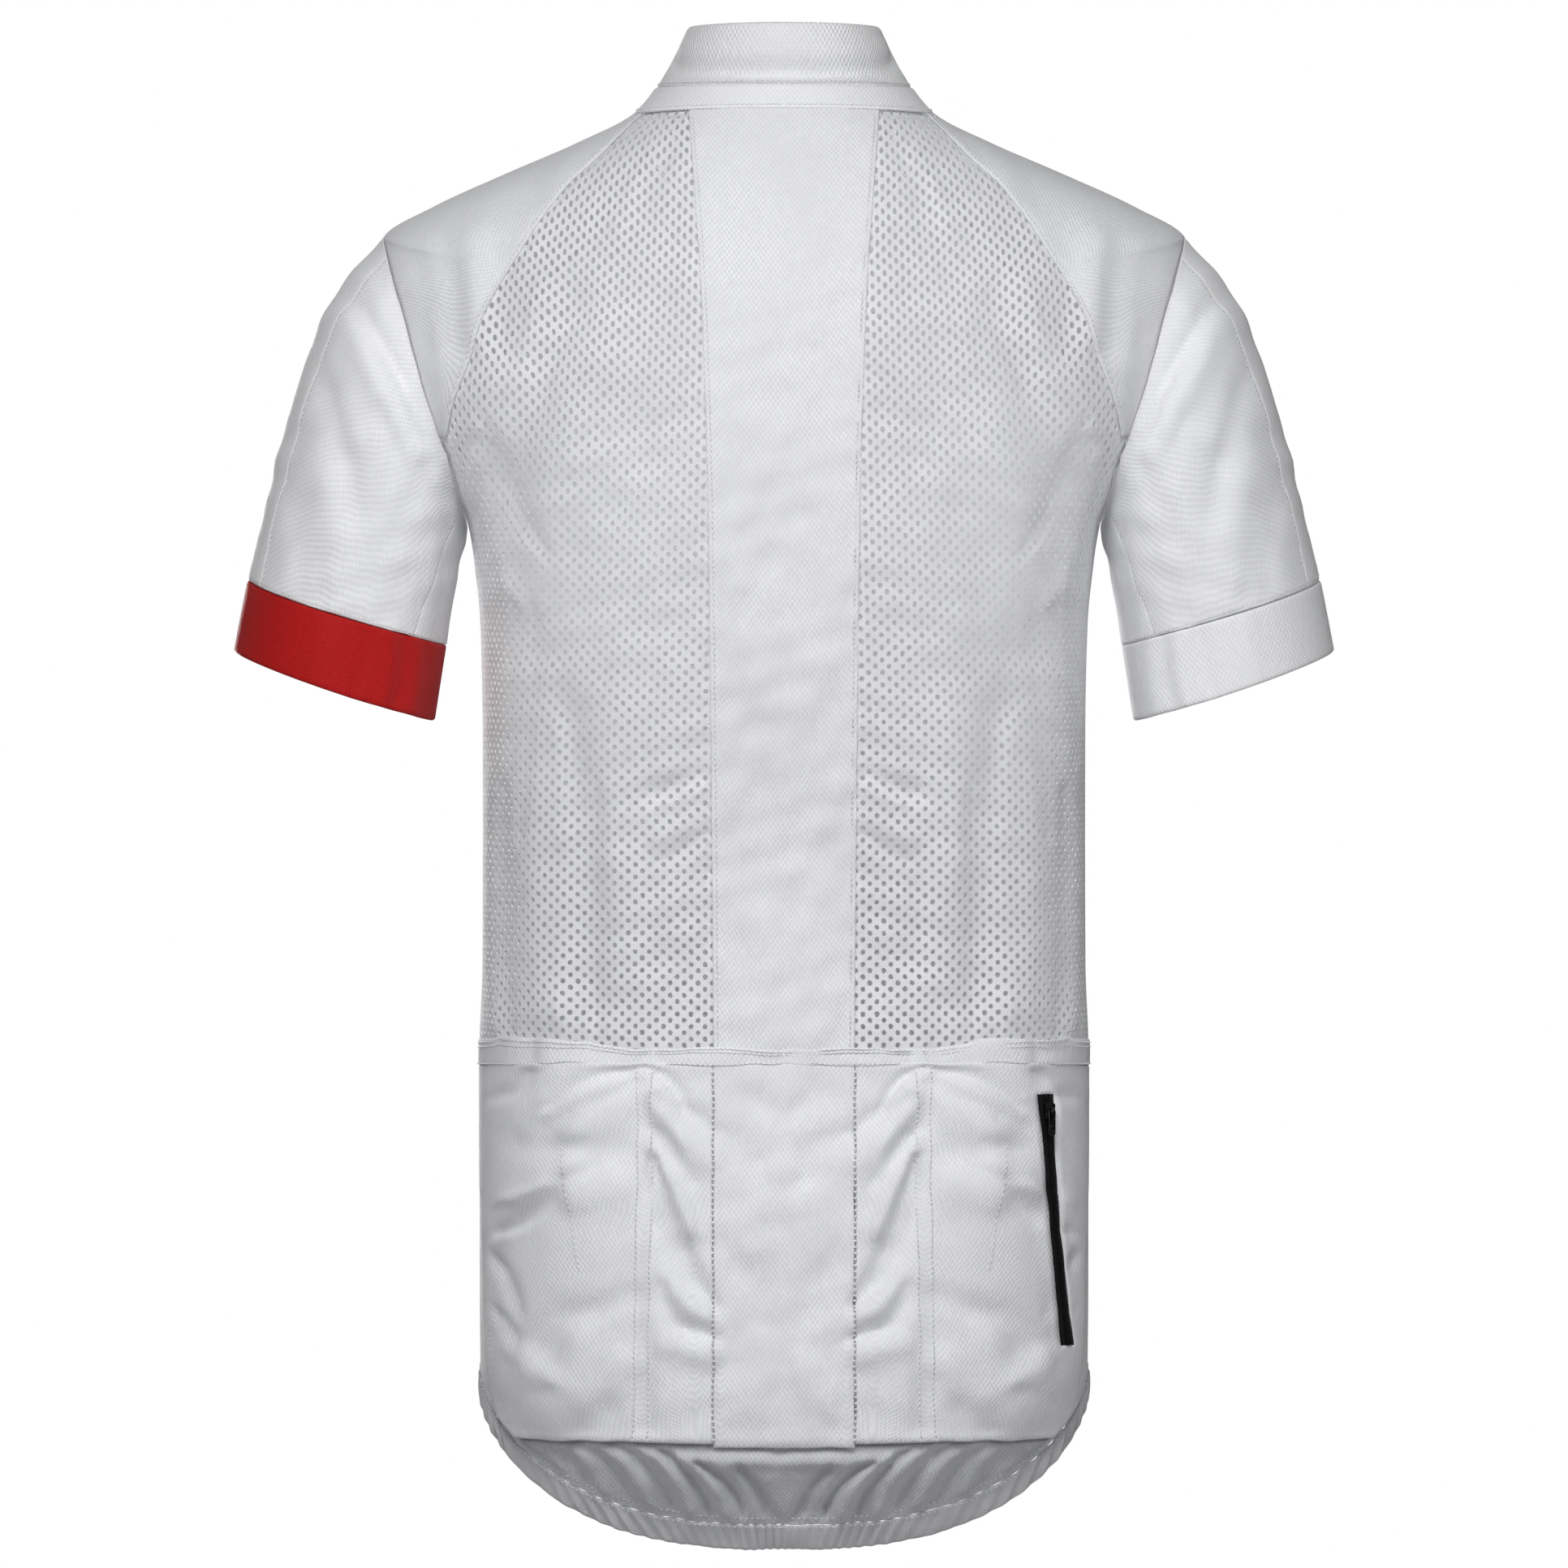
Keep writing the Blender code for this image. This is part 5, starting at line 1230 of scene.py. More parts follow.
@dataclass
class Neck:
    """Stand collar and the band under it."""

    thickness: float = 1.5
    columns: int = 150
    collar_foot: float = level_of(COLLAR_SEAM) - GAP
    band_top: float = level_of(COLLAR_SEAM) + GAP
    band_foot: float = level_of(NECK_EDGE) - GAP
    roll: float = 1.2
    trough_level: float = 24.0
    trough_depth: float = 6.6
    trough_width: float = 5.2

    def angles(self, levels: np.ndarray) -> np.ndarray:
        """Angles of the columns from one edge of the slit round to the other."""
        slit = FORM.front_slit(levels, SLIT)
        return np.linspace(-1, 1, self.columns + 1)[None, :] * slit[:, None]

    def collar(self) -> None:
        """Stand collar with its rolled top edge and the trough round it."""
        levels = np.concatenate([
            [0.0, 0.25, 0.7, 1.4, 2.4], np.linspace(3.6, 29.6, 18), [30.4, self.collar_foot]
        ])
        angle, level = self.angles(levels), levels[:, None]
        back = np.clip(np.cos(angle), 0, 1) ** 0.5
        rise = -self.roll * np.clip(1 - level / 2.4, 0, 1) ** 2
        bend = (level - self.trough_level + 8 * (1 - back)) / self.trough_width
        rise = rise - self.trough_depth * np.exp(-bend**2) * back
        rise = rise + 0.5 * np.exp(-((level - 12) / 5) ** 2) * back
        rise = rise + edge_drop(self.collar_foot - level, 0.5)
        add_sheet("collar", ClothNet(FORM.cloth(angle, level, rise)), self.thickness, COLLAR_KNIT)

    def band(self) -> None:
        """Neck band between the collar and the body panels."""
        levels = rows_between(self.band_top, self.band_foot, 1.5)
        level = levels[:, None]
        distance = np.minimum(level - self.band_top, self.band_foot - level)
        net = ClothNet(FORM.cloth(self.angles(levels), level, 0.35 + edge_drop(distance, 0.6)))
        add_sheet("neck_band", net, self.thickness, WHITE_KNIT)

    def stitches(self) -> None:
        """Dotted rows above the collar seam and along the band's lower edge."""
        sewing = Stitching("neck_stitches")
        angle = np.linspace(0.002, 2.85, 240)
        for level, lift in ((29.6, 0.0), (41.4, 0.4)):
            sewing.trunk_row(angle, np.full_like(angle, level), lift, pitch=2.6)
        sewing.finish_piece()

    def build(self) -> None:
        """Make the neck's pieces."""
        for make in (self.collar, self.band, self.stitches):
            make()


@dataclass
class MeshPanels:
    """The two side panels of the back, knitted as an even net of small holes."""

    half_across: float = 3.45
    half_down: float = 3.05
    hole_across: float = 1.24
    hole_down: float = 1.36
    drawn_in: float = 0.13
    drawn_down: float = 0.24
    drawn_end: float = level_of(-300.0)
    drawn_over: float = 250.0
    under: float = 3.2
    sunk: float = 0.95
    sunk_at_neck: float = 1.9
    uneven: float = 0.07
    tilt: float = 0.10
    width: float = 250.0
    radius: float = 140.0

    def drawn(self, level: np.ndarray) -> np.ndarray:
        """How far the net is drawn towards the neck, from 1 at it to 0 at the waist."""
        return np.clip((self.drawn_end - level) / self.drawn_over, 0, 1)

    def cells(self) -> bmesh.types.BMesh:
        """Diamond cells that cover the panel, laid flat: x round the body, y down it."""
        top, foot = level_of(NECK_EDGE) - 3, level_of(POCKET_SEAM) + 2
        rows = (foot - top) / self.half_down
        count = int((1.2 * self.width / self.half_across + rows) / 2) + 4
        net = bmesh.new()
        bmesh.ops.create_grid(net, x_segments=count, y_segments=count, size=count / 2)
        turn = Matrix(((self.half_across, -self.half_across, 0, self.width / 2),
                       (self.half_down, self.half_down, 0, (top + foot) / 2),
                       (0, 0, 1, 0), (0, 0, 0, 1)))
        bmesh.ops.transform(net, matrix=turn, verts=net.verts)
        for vert in net.verts:
            vert.co.x *= 1 - self.drawn_in * float(self.drawn(vert.co.y))
        faces = list(net.faces)
        middle = np.array([face.calc_center_median()[:2] for face in faces])
        inside = self.covers(middle[:, 0], middle[:, 1], top, foot)
        bmesh.ops.delete(net, geom=[f for f, keep in zip(faces, inside) if not keep],
                         context="FACES")
        loose = [vert for vert in net.verts if not vert.link_faces]
        bmesh.ops.delete(net, geom=loose, context="VERTS")
        return net

    def covers(self, length: np.ndarray, level: np.ndarray, top: float,
               foot: float) -> np.ndarray:
        """Tell which cells lie in the panel or just under its neighbours."""
        within = (level > top) & (level < foot) & (length > 0)
        angle = FORM.angle_at_length(np.where(within, length, 0), np.clip(level, top, foot))
        safe = np.clip(level, top, foot)
        under = self.under / self.radius
        inner = FORM.back_seam(safe, CENTRE_SEAM) - under
        outer = FORM.outer_border(safe, front=False) + under
        at_arm = (safe > FORM.arm_levels[0]) & (safe < FORM.arm_levels[-1])
        outer = np.where(at_arm, np.minimum(
            outer, FORM.arm_angle(safe, False) + 0.5 / self.radius), outer)
        return within & (angle > inner) & (angle < outer)

    def open_holes(self, net: bmesh.types.BMesh) -> None:
        """Cut an oval hole in each cell, a little uneven from hole to hole."""
        bmesh.ops.bisect_edges(net, edges=net.edges, cuts=1)
        cells = list(net.faces)
        bmesh.ops.inset_individual(net, faces=cells, thickness=0.6, depth=0.0)
        for face in cells:
            centre = face.calc_center_median()
            sway = math.sin(centre.x * 1.7 + centre.y * 0.61) * math.sin(centre.y * 2.3)
            size = 1.0 + self.uneven * sway
            tilt = self.tilt * math.sin(centre.x * 0.9 - centre.y * 1.3)
            for vert in face.verts:
                off = vert.co - centre
                turn = math.atan2(off.y / self.half_down, off.x / self.half_across)
                turn = round(turn / (math.pi / 4)) * math.pi / 4
                drawn = float(self.drawn(centre.y))
                across = self.hole_across * size * (1 - self.drawn_in * drawn) * math.cos(turn)
                down = self.hole_down * size * (1 + self.drawn_down * drawn) * math.sin(turn)
                vert.co = centre + Vector((across + tilt * down, down, 0))
        bmesh.ops.delete(net, geom=cells, context="FACES_ONLY")

    def wrap(self, net: bmesh.types.BMesh) -> np.ndarray:
        """Points of the net's vertices once it is wrapped on the form."""
        flat = np.array([vert.co[:2] for vert in net.verts])
        level = flat[:, 1]
        angle = FORM.angle_at_length(flat[:, 0], level)
        inner = FORM.back_seam(level, CENTRE_SEAM)
        outer = FORM.outer_border(level, front=False)
        seam = np.minimum(angle - inner, outer - angle) * self.radius
        near = np.clip(1 - (seam - 1.0) / 4.0, 0, 1) ** 2
        neck = np.clip(1 - (level - level_of(NECK_EDGE) - 1.0) / 5.0, 0, 1)
        sunk = np.maximum(self.sunk * near, self.sunk_at_neck * neck**2)
        return FORM.cloth(angle, level, -0.1 - sunk)

    def build(self) -> None:
        """Make the left panel, and the right one as its mirror image."""
        net = self.cells()
        self.open_holes(net)
        cloth_map = net.loops.layers.uv.new("cloth")
        for face in net.faces:
            for loop in face.loops:
                loop[cloth_map].uv = loop.vert.co.xy * MM
        points = self.wrap(net)
        area = sum(face.calc_area() for face in net.faces) * MM * MM
        for vert, place in zip(net.verts, points):
            vert.co = place * MM
        for side in ("left", "right"):
            copy = net.copy()
            if side == "right":
                bmesh.ops.scale(copy, vec=(-1, 1, 1), verts=copy.verts)
                bmesh.ops.reverse_faces(copy, faces=copy.faces)
            data = mesh_of(f"back_mesh_{side}_cloth", copy)
            data.shade_flat()
            add_cloth(data, f"back_mesh_{side}", MESH, MESH_KNIT)
        net.free()


@dataclass
class Trunk:
    """Knit panels of the back, the shoulders and the front."""

    pitch: float = 2.6
    seam_top: float = level_of(NECK_EDGE) + GAP
    behind_pockets: float = 3.2
    leg_end_width: float = 1.6
    shoulder_radius: float = 160.0
    front_radius: float = 140.0
    roll_height: float = -658.5
    roll_rise: float = 2.5
    roll_reach: float = 62.0

    def centre_back(self) -> None:
        """Centre back panel, its side edges folded over the mesh."""
        levels = rows_between(self.seam_top, level_of(POCKET_SEAM) + 1, self.pitch)
        seam = FORM.back_seam(levels, CENTRE_SEAM)
        add_sheet("back_centre", panel(-seam, seam, levels, 34, drop=0.35), KNIT, PANEL_KNIT)
        sewing = Stitching("back_stitches")
        levels = np.linspace(level_of(NECK_EDGE) + 3, level_of(POCKET_SEAM) - 4, 200)
        sewing.trunk_row(FORM.back_seam(levels, CENTRE_SEAM, -2.2), levels, pitch=2.7)
        levels = np.linspace(level_of(NECK_EDGE) + 2, level_of(-150.0), 80)
        sewing.trunk_row(FORM.back_seam(levels, BACK_RAGLAN, 2.0), levels, pitch=2.7)
        sewing.finish_piece()

    def shoulders(self) -> None:
        """Shoulder panels, from the back raglan over the top to the front one."""
        top, tip, foot = self.seam_top, FORM.arm_levels[0], FORM.arm_levels[-1]
        neck_x = FORM.plain(math.pi / 2, top)[0]
        tip_x = FORM.plain(math.pi / 2, tip)[0]
        saddle = np.linspace(top, tip, 36)
        half = np.interp(saddle, [top, tip], [NECK_HALF_EDGE / neck_x, TIP_HALF_EDGE / tip_x])
        left = FORM.back_seam(saddle, BACK_RAGLAN)
        right = FORM.front_seam(saddle, FRONT_RAGLAN)
        legs = np.linspace(tip, foot, 52)[1:]
        rows, borders = [], []
        for front in (False, True):
            arm = FORM.arm_angle(legs, front)
            seam = (FORM.front_seam(legs, FRONT_RAGLAN) if front
                    else FORM.back_seam(legs, BACK_RAGLAN))
            width = (seam - arm if front else arm - seam) * self.shoulder_radius
            narrow = width < self.leg_end_width
            rows.append(int(np.argmax(narrow)) if narrow.any() else len(legs))
            borders.append((arm, seam))
        cells = 16
        share = np.linspace(0, 1, cells + 1)[None, :]
        middle = np.stack([math.pi / 2 - half, math.pi / 2 + half], axis=1)
        back = left[:, None] * (1 - share) + middle[:, :1] * share
        over = middle[:, :1] + (middle[:, 1:] - middle[:, :1]) * np.array([[1 / 3, 2 / 3]])
        front = middle[:, 1:] * (1 - share) + right[:, None] * share
        angle = np.concatenate([back, over, front], axis=1)
        count = max(rows)
        lower = np.full((count, angle.shape[1]), np.nan)
        arm, seam = (values[:count, None] for values in borders[0])
        lower[:, : cells + 1] = seam * (1 - share) + arm * share
        arm, seam = (values[:count, None] for values in borders[1])
        lower[:, cells + 3 :] = arm * (1 - share) + seam * share
        lower[:, cells + 1 : cells + 3] = math.pi / 2
        angle = np.concatenate([angle, lower])
        level = np.concatenate([saddle, legs[:count]])[:, None]
        last = len(saddle) - 1

        def outside(row: int, column: int) -> bool:
            """Tell which cells lie in the armhole or past the end of a leg."""
            if cells <= column < cells + 3:
                return row >= last
            return row >= last + rows[0 if column < cells else 1] - 1

        net = ClothNet(FORM.cloth(angle, level), outside)
        for side, piece in (("left", net), ("right", net.mirrored())):
            data = piece.to_mesh(f"shoulder_{side}_cloth")
            data.shade_smooth()
            across, down = piece.lengths()
            width = across[: last + 1, -1].max() * MM
            add_cloth(data, f"shoulder_{side}", KNIT, SHOULDER_KNIT)

    def lower_back(self) -> None:
        """Lower back behind the pockets, ending in the gathered tail."""
        levels = np.concatenate([
            np.linspace(level_of(-459.4), level_of(-640.0), 28)[:-1],
            rows_between(level_of(-640.0), level_of(HEM_SEAM) + 0.3, 1.2)[2:],
        ])
        side = FORM.side_seam(levels)

        def lift(x: np.ndarray, z: np.ndarray, angle: np.ndarray) -> np.ndarray:
            """Rolled fold under the middle pocket and the fan of gathers."""
            roll_line = self.roll_height + 8.0 * np.clip((np.abs(x) - 34) / 30, 0, 1) ** 1.5
            roll = self.roll_rise * np.exp(-(((z - roll_line) / 3.6) ** 2))
            roll = roll * np.clip((self.roll_reach - np.abs(x)) / 22, 0, 1)
            notch = -1.4 * np.exp(-((x - 2) / 4.0) ** 2) * np.exp(-(((z + 656) / 4.0) ** 2))
            hollow = -1.1 * np.exp(-(((z + 653.2) / 2.0) ** 2)) * np.exp(-(x / 40) ** 4)
            below = np.clip((-650.0 - z) / 5.0, 0, 1)
            puckers = 0.16 * np.sin(x * 2 * math.pi / 3.1 + 0.8 * np.sin(x / 5)) * np.exp(
                -(((z - roll_line) / 4.5) ** 2))
            fan = crease_rise(TAIL_CREASES, x, z)
            sewn = np.clip((levels[-1] - levels) / 6.0, 0.1, 1)[:, None]
            behind = np.clip((z + 652.0) / 6, 0, 1) * np.clip((-464.0 - z) / 8, 0, 1)
            sunk = self.behind_pockets * behind * np.clip((138 - np.abs(x)) / 10, 0, 1)
            return below * sewn * (roll + notch + hollow + puckers + fan) - sewn * sunk

        # Its darkened knit is painted shade of the tail
        add_sheet("back_lower", panel(-side, side, levels, 190, lift), KNIT, SHADED_LOWER_KNIT)

    def front(self) -> None:
        """Front: one piece with an open slit down its middle for the zip."""
        zip_end = FORM.front_level(FRONT_ZIP_END, level_of(NECK_EDGE))
        upper = rows_between(self.seam_top, zip_end, 3.2)
        lower = rows_between(zip_end, level_of(HEM_SEAM) + 0.3, 3.4)[1:]
        levels = np.concatenate([upper, lower])
        outer = FORM.outer_border(levels, front=True)
        outer = np.where(levels > FORM.arm_levels[-1], outer - 0.4 / 150, outer)
        slit = FORM.front_slit(levels, SLIT)
        width = (slit - outer) * self.front_radius
        shares = edge_shares(width, 66)
        left = outer[:, None] * (1 - shares) + slit[:, None] * shares
        angle = np.concatenate([left, 2 * math.pi - left[:, ::-1]], axis=1)
        rise = edge_drop(shares * width[:, None], 0.45)
        rise = np.concatenate([rise, rise[:, ::-1]], axis=1)
        half = left.shape[1] - 1
        zip_rows = len(upper) - 1
        net = ClothNet(FORM.cloth(angle, levels[:, None], rise),
                       lambda row, column: column == half and row < zip_rows)
        add_sheet("front", net, KNIT, WHITE_KNIT)
        sewing = Stitching("front_stitches")
        above = np.linspace(level_of(NECK_EDGE) + 2, zip_end - 1, 160)
        sewing.trunk_row(FORM.front_slit(above, 6.2), above, pitch=2.7)
        raglan = np.linspace(level_of(NECK_EDGE) + 2, level_of(-110.0), 80)
        sewing.trunk_row(FORM.front_seam(raglan, FRONT_RAGLAN) + 2.0 / 130, raglan)
        sewing.finish_piece()

    def build(self) -> None:
        """Make the trunk's knit pieces."""
        for make in (self.centre_back, self.shoulders, self.lower_back, self.front):
            make()


@dataclass
class Sleeves:
    """Back, front and under pieces of both sleeves, and their cuff bands."""

    rows: int = 46
    cells_a_column: int = 6
    cuff_rows: int = 12
    cuff_thickness: float = 1.3

    def piece(self, first: float, last: float) -> ClothNet:
        """Net between two columns, from the armhole to the cuff."""
        reach = np.concatenate([[0.0, 0.004, 0.012], np.linspace(0.02, 0.985, self.rows),
                                [0.993, 0.998]])
        cells = int((last - first) * self.cells_a_column)
        middle = SLEEVE.cloth(np.linspace(first, last, 9)[None, :], reach[:, None])
        width = np.linalg.norm(np.diff(middle, axis=1), axis=-1).sum(axis=1)
        shares = edge_shares(width, cells)
        distance = np.minimum(shares, 1 - shares) * width[:, None]
        along = reach[:, None]
        rise = edge_drop(distance, 0.4) + edge_drop((0.998 - along) * 100, 0.4)
        return ClothNet(SLEEVE.cloth(first + (last - first) * shares, along, rise)).turned()

    def cuff(self) -> ClothNet:
        """Net of a cuff band, its lower edge rounded."""
        reach = np.concatenate([[1.0015, 1.004, 1.011], np.linspace(1.02, 1.232, self.cuff_rows),
                                [1.243, 1.248, 1.25]])
        columns = np.linspace(0, 2 * ARMHOLE_COLUMNS, 2 * ARMHOLE_COLUMNS * 7 + 1)
        column, along = np.meshgrid(columns, reach)
        rise = 0.5 + edge_drop((along - 1.0015) * 140, 0.5) + edge_drop((1.25 - along) * 140, 0.9)
        return ClothNet(SLEEVE.cloth(column, along, rise), closed=True).turned()

    def build(self) -> None:
        """Make both sleeves."""
        under_front = 2 * ARMHOLE_COLUMNS - UNDER_SEAM
        spans = {
            "sleeve_back": (TOP_SEAM, UNDER_SEAM),
            "sleeve_under": (UNDER_SEAM, under_front),
            "sleeve_front": (under_front, 2 * ARMHOLE_COLUMNS + TOP_SEAM),
        }
        for name, (first, last) in spans.items():
            net = self.piece(first, last)
            for side, piece in (("left", net), ("right", net.mirrored())):
                add_sheet(f"{name}_{side}", piece, KNIT, WHITE_KNIT)
        cuff = self.cuff()
        add_sheet("cuff_left", cuff, self.cuff_thickness, RED_KNIT)
        add_sheet("cuff_right", cuff.mirrored(), self.cuff_thickness, WHITE_KNIT)
        self.stitches()

    def stitches(self) -> None:
        """Rows beside the lengthwise seams and above the cuff."""
        sewing = Stitching("sleeve_stitches")
        reach = np.linspace(0.03, 0.97, 80)
        rows = [(np.full_like(reach, seam), reach) for seam in (TOP_SEAM + 0.14, UNDER_SEAM - 0.14)]
        round_arm = np.linspace(0, 2 * ARMHOLE_COLUMNS, 300)
        for column, along in (*rows, (round_arm, np.full_like(round_arm, 0.985))):
            sewing.row(SLEEVE.cloth(column, along), SLEEVE.out(column, along), radius=0.28)
        sewing.finish_piece()


def add_zip(node: str, points: np.ndarray, out: np.ndarray) -> None:
    """Tape of a zip, nine columns wide, with a coil along both edges of its middle column."""
    add_sheet(node, ClothNet(points), TAPE, TAPE_KNIT, f"{node}_tape")
    coil = Stitching(f"{node}_coil", BLACK_COIL, Slot.TAPE)
    for at in (3, 5):
        coil.coil(points[:, at], out[:, at], points[:, 4])
    coil.finish_piece()


class PocketRow(NamedTuple):
    """Where a row of a side pocket ends at its outside."""

    z: float
    x_out: float
    z_out: float


AT_SIDE_SEAM = 200.0
POCKET_ROWS = rows_of(PocketRow,
    (-465.7, AT_SIDE_SEAM, -465.7), (-480, AT_SIDE_SEAM, -479), (-500, AT_SIDE_SEAM, -498.5),
    (-520, AT_SIDE_SEAM, -518), (-542, AT_SIDE_SEAM, -540), (-564, AT_SIDE_SEAM, -562),
    (-584, AT_SIDE_SEAM, -582), (-604, AT_SIDE_SEAM, -602), (-627, 145.2, -623),
    (-640, 138.6, -638.5), (-650, 131, -647),
)


class ZipPoint(NamedTuple):
    """Middle line and half width of the pocket's zip at one height."""

    z: float
    x: float
    half_width: float


POCKET_ZIP = rows_of(ZipPoint,
    (-480, 123, 3.9), (-520, 126.6, 3.1), (-564, 131.8, 3), (-604, 137, 3.6),
)


# Top edge of the band by distance from the centre line: the side pockets' mouths gape
BAND_TOP = (
    (0.0, -456.0), (34.6, -456.2), (70.0, -456.4), (99.0, -452.6), (121.0, -450.8),
    (138.0, -451.4), (150.0, -452.0),
)


@dataclass
class Pockets:
    """Three back pockets, the elastic band along their mouths, and the pocket zip."""

    centre_seam: float = 34.6
    division: float = 68.5
    foot: float = -650.0
    band_foot: float = -465.2
    mouth_rows: tuple[float, ...] = (-462.0, -463.4, -464.6, -465.6, -466.6)
    tuck_depth: float = 1.3
    band_stand: float = 0.25
    foot_roll: float = 1.1
    least_stand: float = -1.8
    crease_gain: float = 2.1
    gape: float = 9.0
    centre_gape: float = 2.6
    gape_end: float = -610.0
    gape_fall: float = 0.8
    gape_round: float = 1.2
    outside: float = 147.0
    lift: float = 2.2
    side: float = 149.8
    side_fade: float = 4.0
    radius: float = 130.0
    centre_width: float = 70.0
    inside_width: float = 84.0
    outside_width: float = 22.0

    def rise(self, x: np.ndarray, z: np.ndarray, plain: Optional[Callable] = None) -> np.ndarray:
        """How far the pocket's outer face stands off the back.

        Args:
            x: distances from the centre line.
            z: heights.
            plain: how far the creases are smoothed out at each place, from 0 to 1.

        Returns:
            The rise at each place.
        """
        x = np.abs(x)
        kept = 1 - plain(x, z) if plain else 1.0
        open_part = np.clip((z - self.gape_end) / (self.band_foot - self.gape_end), 0, 1)
        share = np.clip((x - self.division) / (self.outside - self.division), 0, 1)
        side_pouch = self.gape * np.sin(np.pi * share) ** self.gape_round
        centre_pouch = self.centre_gape * np.clip(1 - (x / self.division) ** 2, 0, 1)
        pouch = (side_pouch + centre_pouch) * open_part**self.gape_fall
        pouch = np.maximum(pouch + kept * crease_rise(POCKET_FOLDS, x, z), 0)
        fade = np.clip((z - self.foot) / 6, 0, 1) * np.clip((-464 - z) / 4, 0, 1)
        creases = self.crease_gain * crease_rise(POCKET_CREASES, x, z)
        stand = self.lift - 0.1 + pouch + kept * creases * fade
        sewn = np.clip((self.side - x) / self.side_fade, 0, 1)
        tuck = self.tuck_depth * np.clip((z - self.band_foot - 1.0) / 1.6, 0, 1)
        roll = self.foot_roll * np.exp(-((z - self.foot - 2.5) / 3.0) ** 2)
        stand = np.maximum(stand, self.least_stand) + roll * (0.8 + 0.2 * np.sin(x * 0.31))
        return 0.5 + stand * sewn * (2 - sewn) - tuck

    def beside_zip(self, x: np.ndarray, z: np.ndarray) -> np.ndarray:
        """Share of the creases that the stiff zip holds flat."""
        middle = pchip([-point.z for point in POCKET_ZIP], [point.x for point in POCKET_ZIP], -z)
        ends = np.clip((z - POCKET_ZIP[-1].z + 8) / 6, 0, 1) * np.clip(
            (POCKET_ZIP[0].z + 8 - z) / 6, 0, 1)
        return np.exp(-((x - middle) / 7.0) ** 4) * ends

    def borders(self, z: np.ndarray) -> tuple[np.ndarray, ...]:
        """Inner angle, zip edges, outer angle and outer height of rows at heights z."""
        heights = [-row.z for row in POCKET_ROWS]
        x_out = np.interp(-z, heights, [row.x_out for row in POCKET_ROWS])
        x_out = np.where(z > -604.0, AT_SIDE_SEAM, np.minimum(x_out, 149.5))
        z_out = np.interp(-z, heights, [row.z_out for row in POCKET_ROWS])
        inner, _ = FORM.place_on_back(np.full_like(z, self.centre_seam), z)
        outer, outer_level = FORM.place_on_back(x_out, z_out)
        outer = np.minimum(outer, FORM.side_seam(outer_level))
        depth = [-point.z for point in POCKET_ZIP]
        middle = pchip(depth, [point.x for point in POCKET_ZIP], -z)
        half = pchip(depth, [point.half_width for point in POCKET_ZIP], -z)
        zip_in, _ = FORM.place_on_back(middle - half, z)
        zip_out, _ = FORM.place_on_back(middle + half, z)
        last = int(np.argmax(z < POCKET_ZIP[-1].z)) - 1
        for edge in (zip_in, zip_out):
            share = (edge[last] - inner[last]) / (outer[last] - inner[last])
            edge[last + 1 :] = inner[last + 1 :] + share * (outer - inner)[last + 1 :]
        return inner, zip_in, zip_out, outer, z_out

    def side_rows(self) -> np.ndarray:
        """Heights of the rows of a side pocket, with rows at both ends of the zip."""
        top, foot = POCKET_ZIP[0].z, POCKET_ZIP[-1].z
        return np.concatenate([
            self.mouth_rows, np.linspace(-467.8, top, 7), np.linspace(top, foot, 56)[1:],
            np.linspace(foot, self.foot + 1.4, 22)[1:], self.foot + np.array([0.6, 0.0]),
        ])

    def side_net(self, plain: Optional[Callable] = None) -> tuple:
        """Angles, levels and rise of a side pocket, its zip column and zip rows."""
        z = self.side_rows()
        inner, zip_in, zip_out, outer, z_out = self.borders(z)
        span = outer - inner
        first, last = (
            np.concatenate([[0, *NEAR_EDGE], np.linspace(start, width, count)]) / width
            for start, width, count in ((2.6, self.inside_width, 32), (2.2, self.outside_width, 9))
        )
        first, last = first[None, :], (1 - last)[None, ::-1]
        left = inner[:, None] * (1 - first) + zip_in[:, None] * first
        right = zip_out[:, None] * (1 - last) + outer[:, None] * last
        middle = zip_in[:, None] + (zip_out - zip_in)[:, None] * np.array([[1 / 3, 2 / 3]])
        angle = np.concatenate([left, middle, right], axis=1)
        share = (angle - inner[:, None]) / span[:, None]
        height = z[:, None] + (z_out - z)[:, None] * share
        level = FORM.level_at(angle, height)
        points = FORM.plain(angle, level)
        rise = self.rise(points[..., 0], points[..., 2], plain)
        rise = rise + edge_drop((angle - inner[:, None]) * self.radius, 1.0, 1.6)
        rise = rise + edge_drop((outer[:, None] - angle) * self.radius, 1.4, 2.2)
        rise = rise + edge_drop((z - self.foot)[:, None], 1.3, 1.6)
        open_first = int(np.argmin(np.abs(z - POCKET_ZIP[0].z)))
        open_last = int(np.argmin(np.abs(z - POCKET_ZIP[-1].z)))
        return angle, level, rise, left.shape[1] - 1, (open_first, open_last)

    def build(self) -> None:
        """Make the pockets, their band, the zip and the sewing."""
        add_sheet("pocket_left", ClothNet(FORM.cloth(*self.side_net()[:3])), KNIT, PANEL_KNIT)
        angle, level, rise, zip_column, (first, last) = self.side_net(self.beside_zip)
        net = ClothNet(
            FORM.cloth(angle, level, rise),
            lambda row, column: zip_column <= column < zip_column + 3 and first <= row < last)
        add_sheet("pocket_right", net.mirrored(), KNIT, PANEL_KNIT)
        self.centre()
        self.band()
        self.zip_strip(angle, level, rise, zip_column, first, last)
        self.stitches()

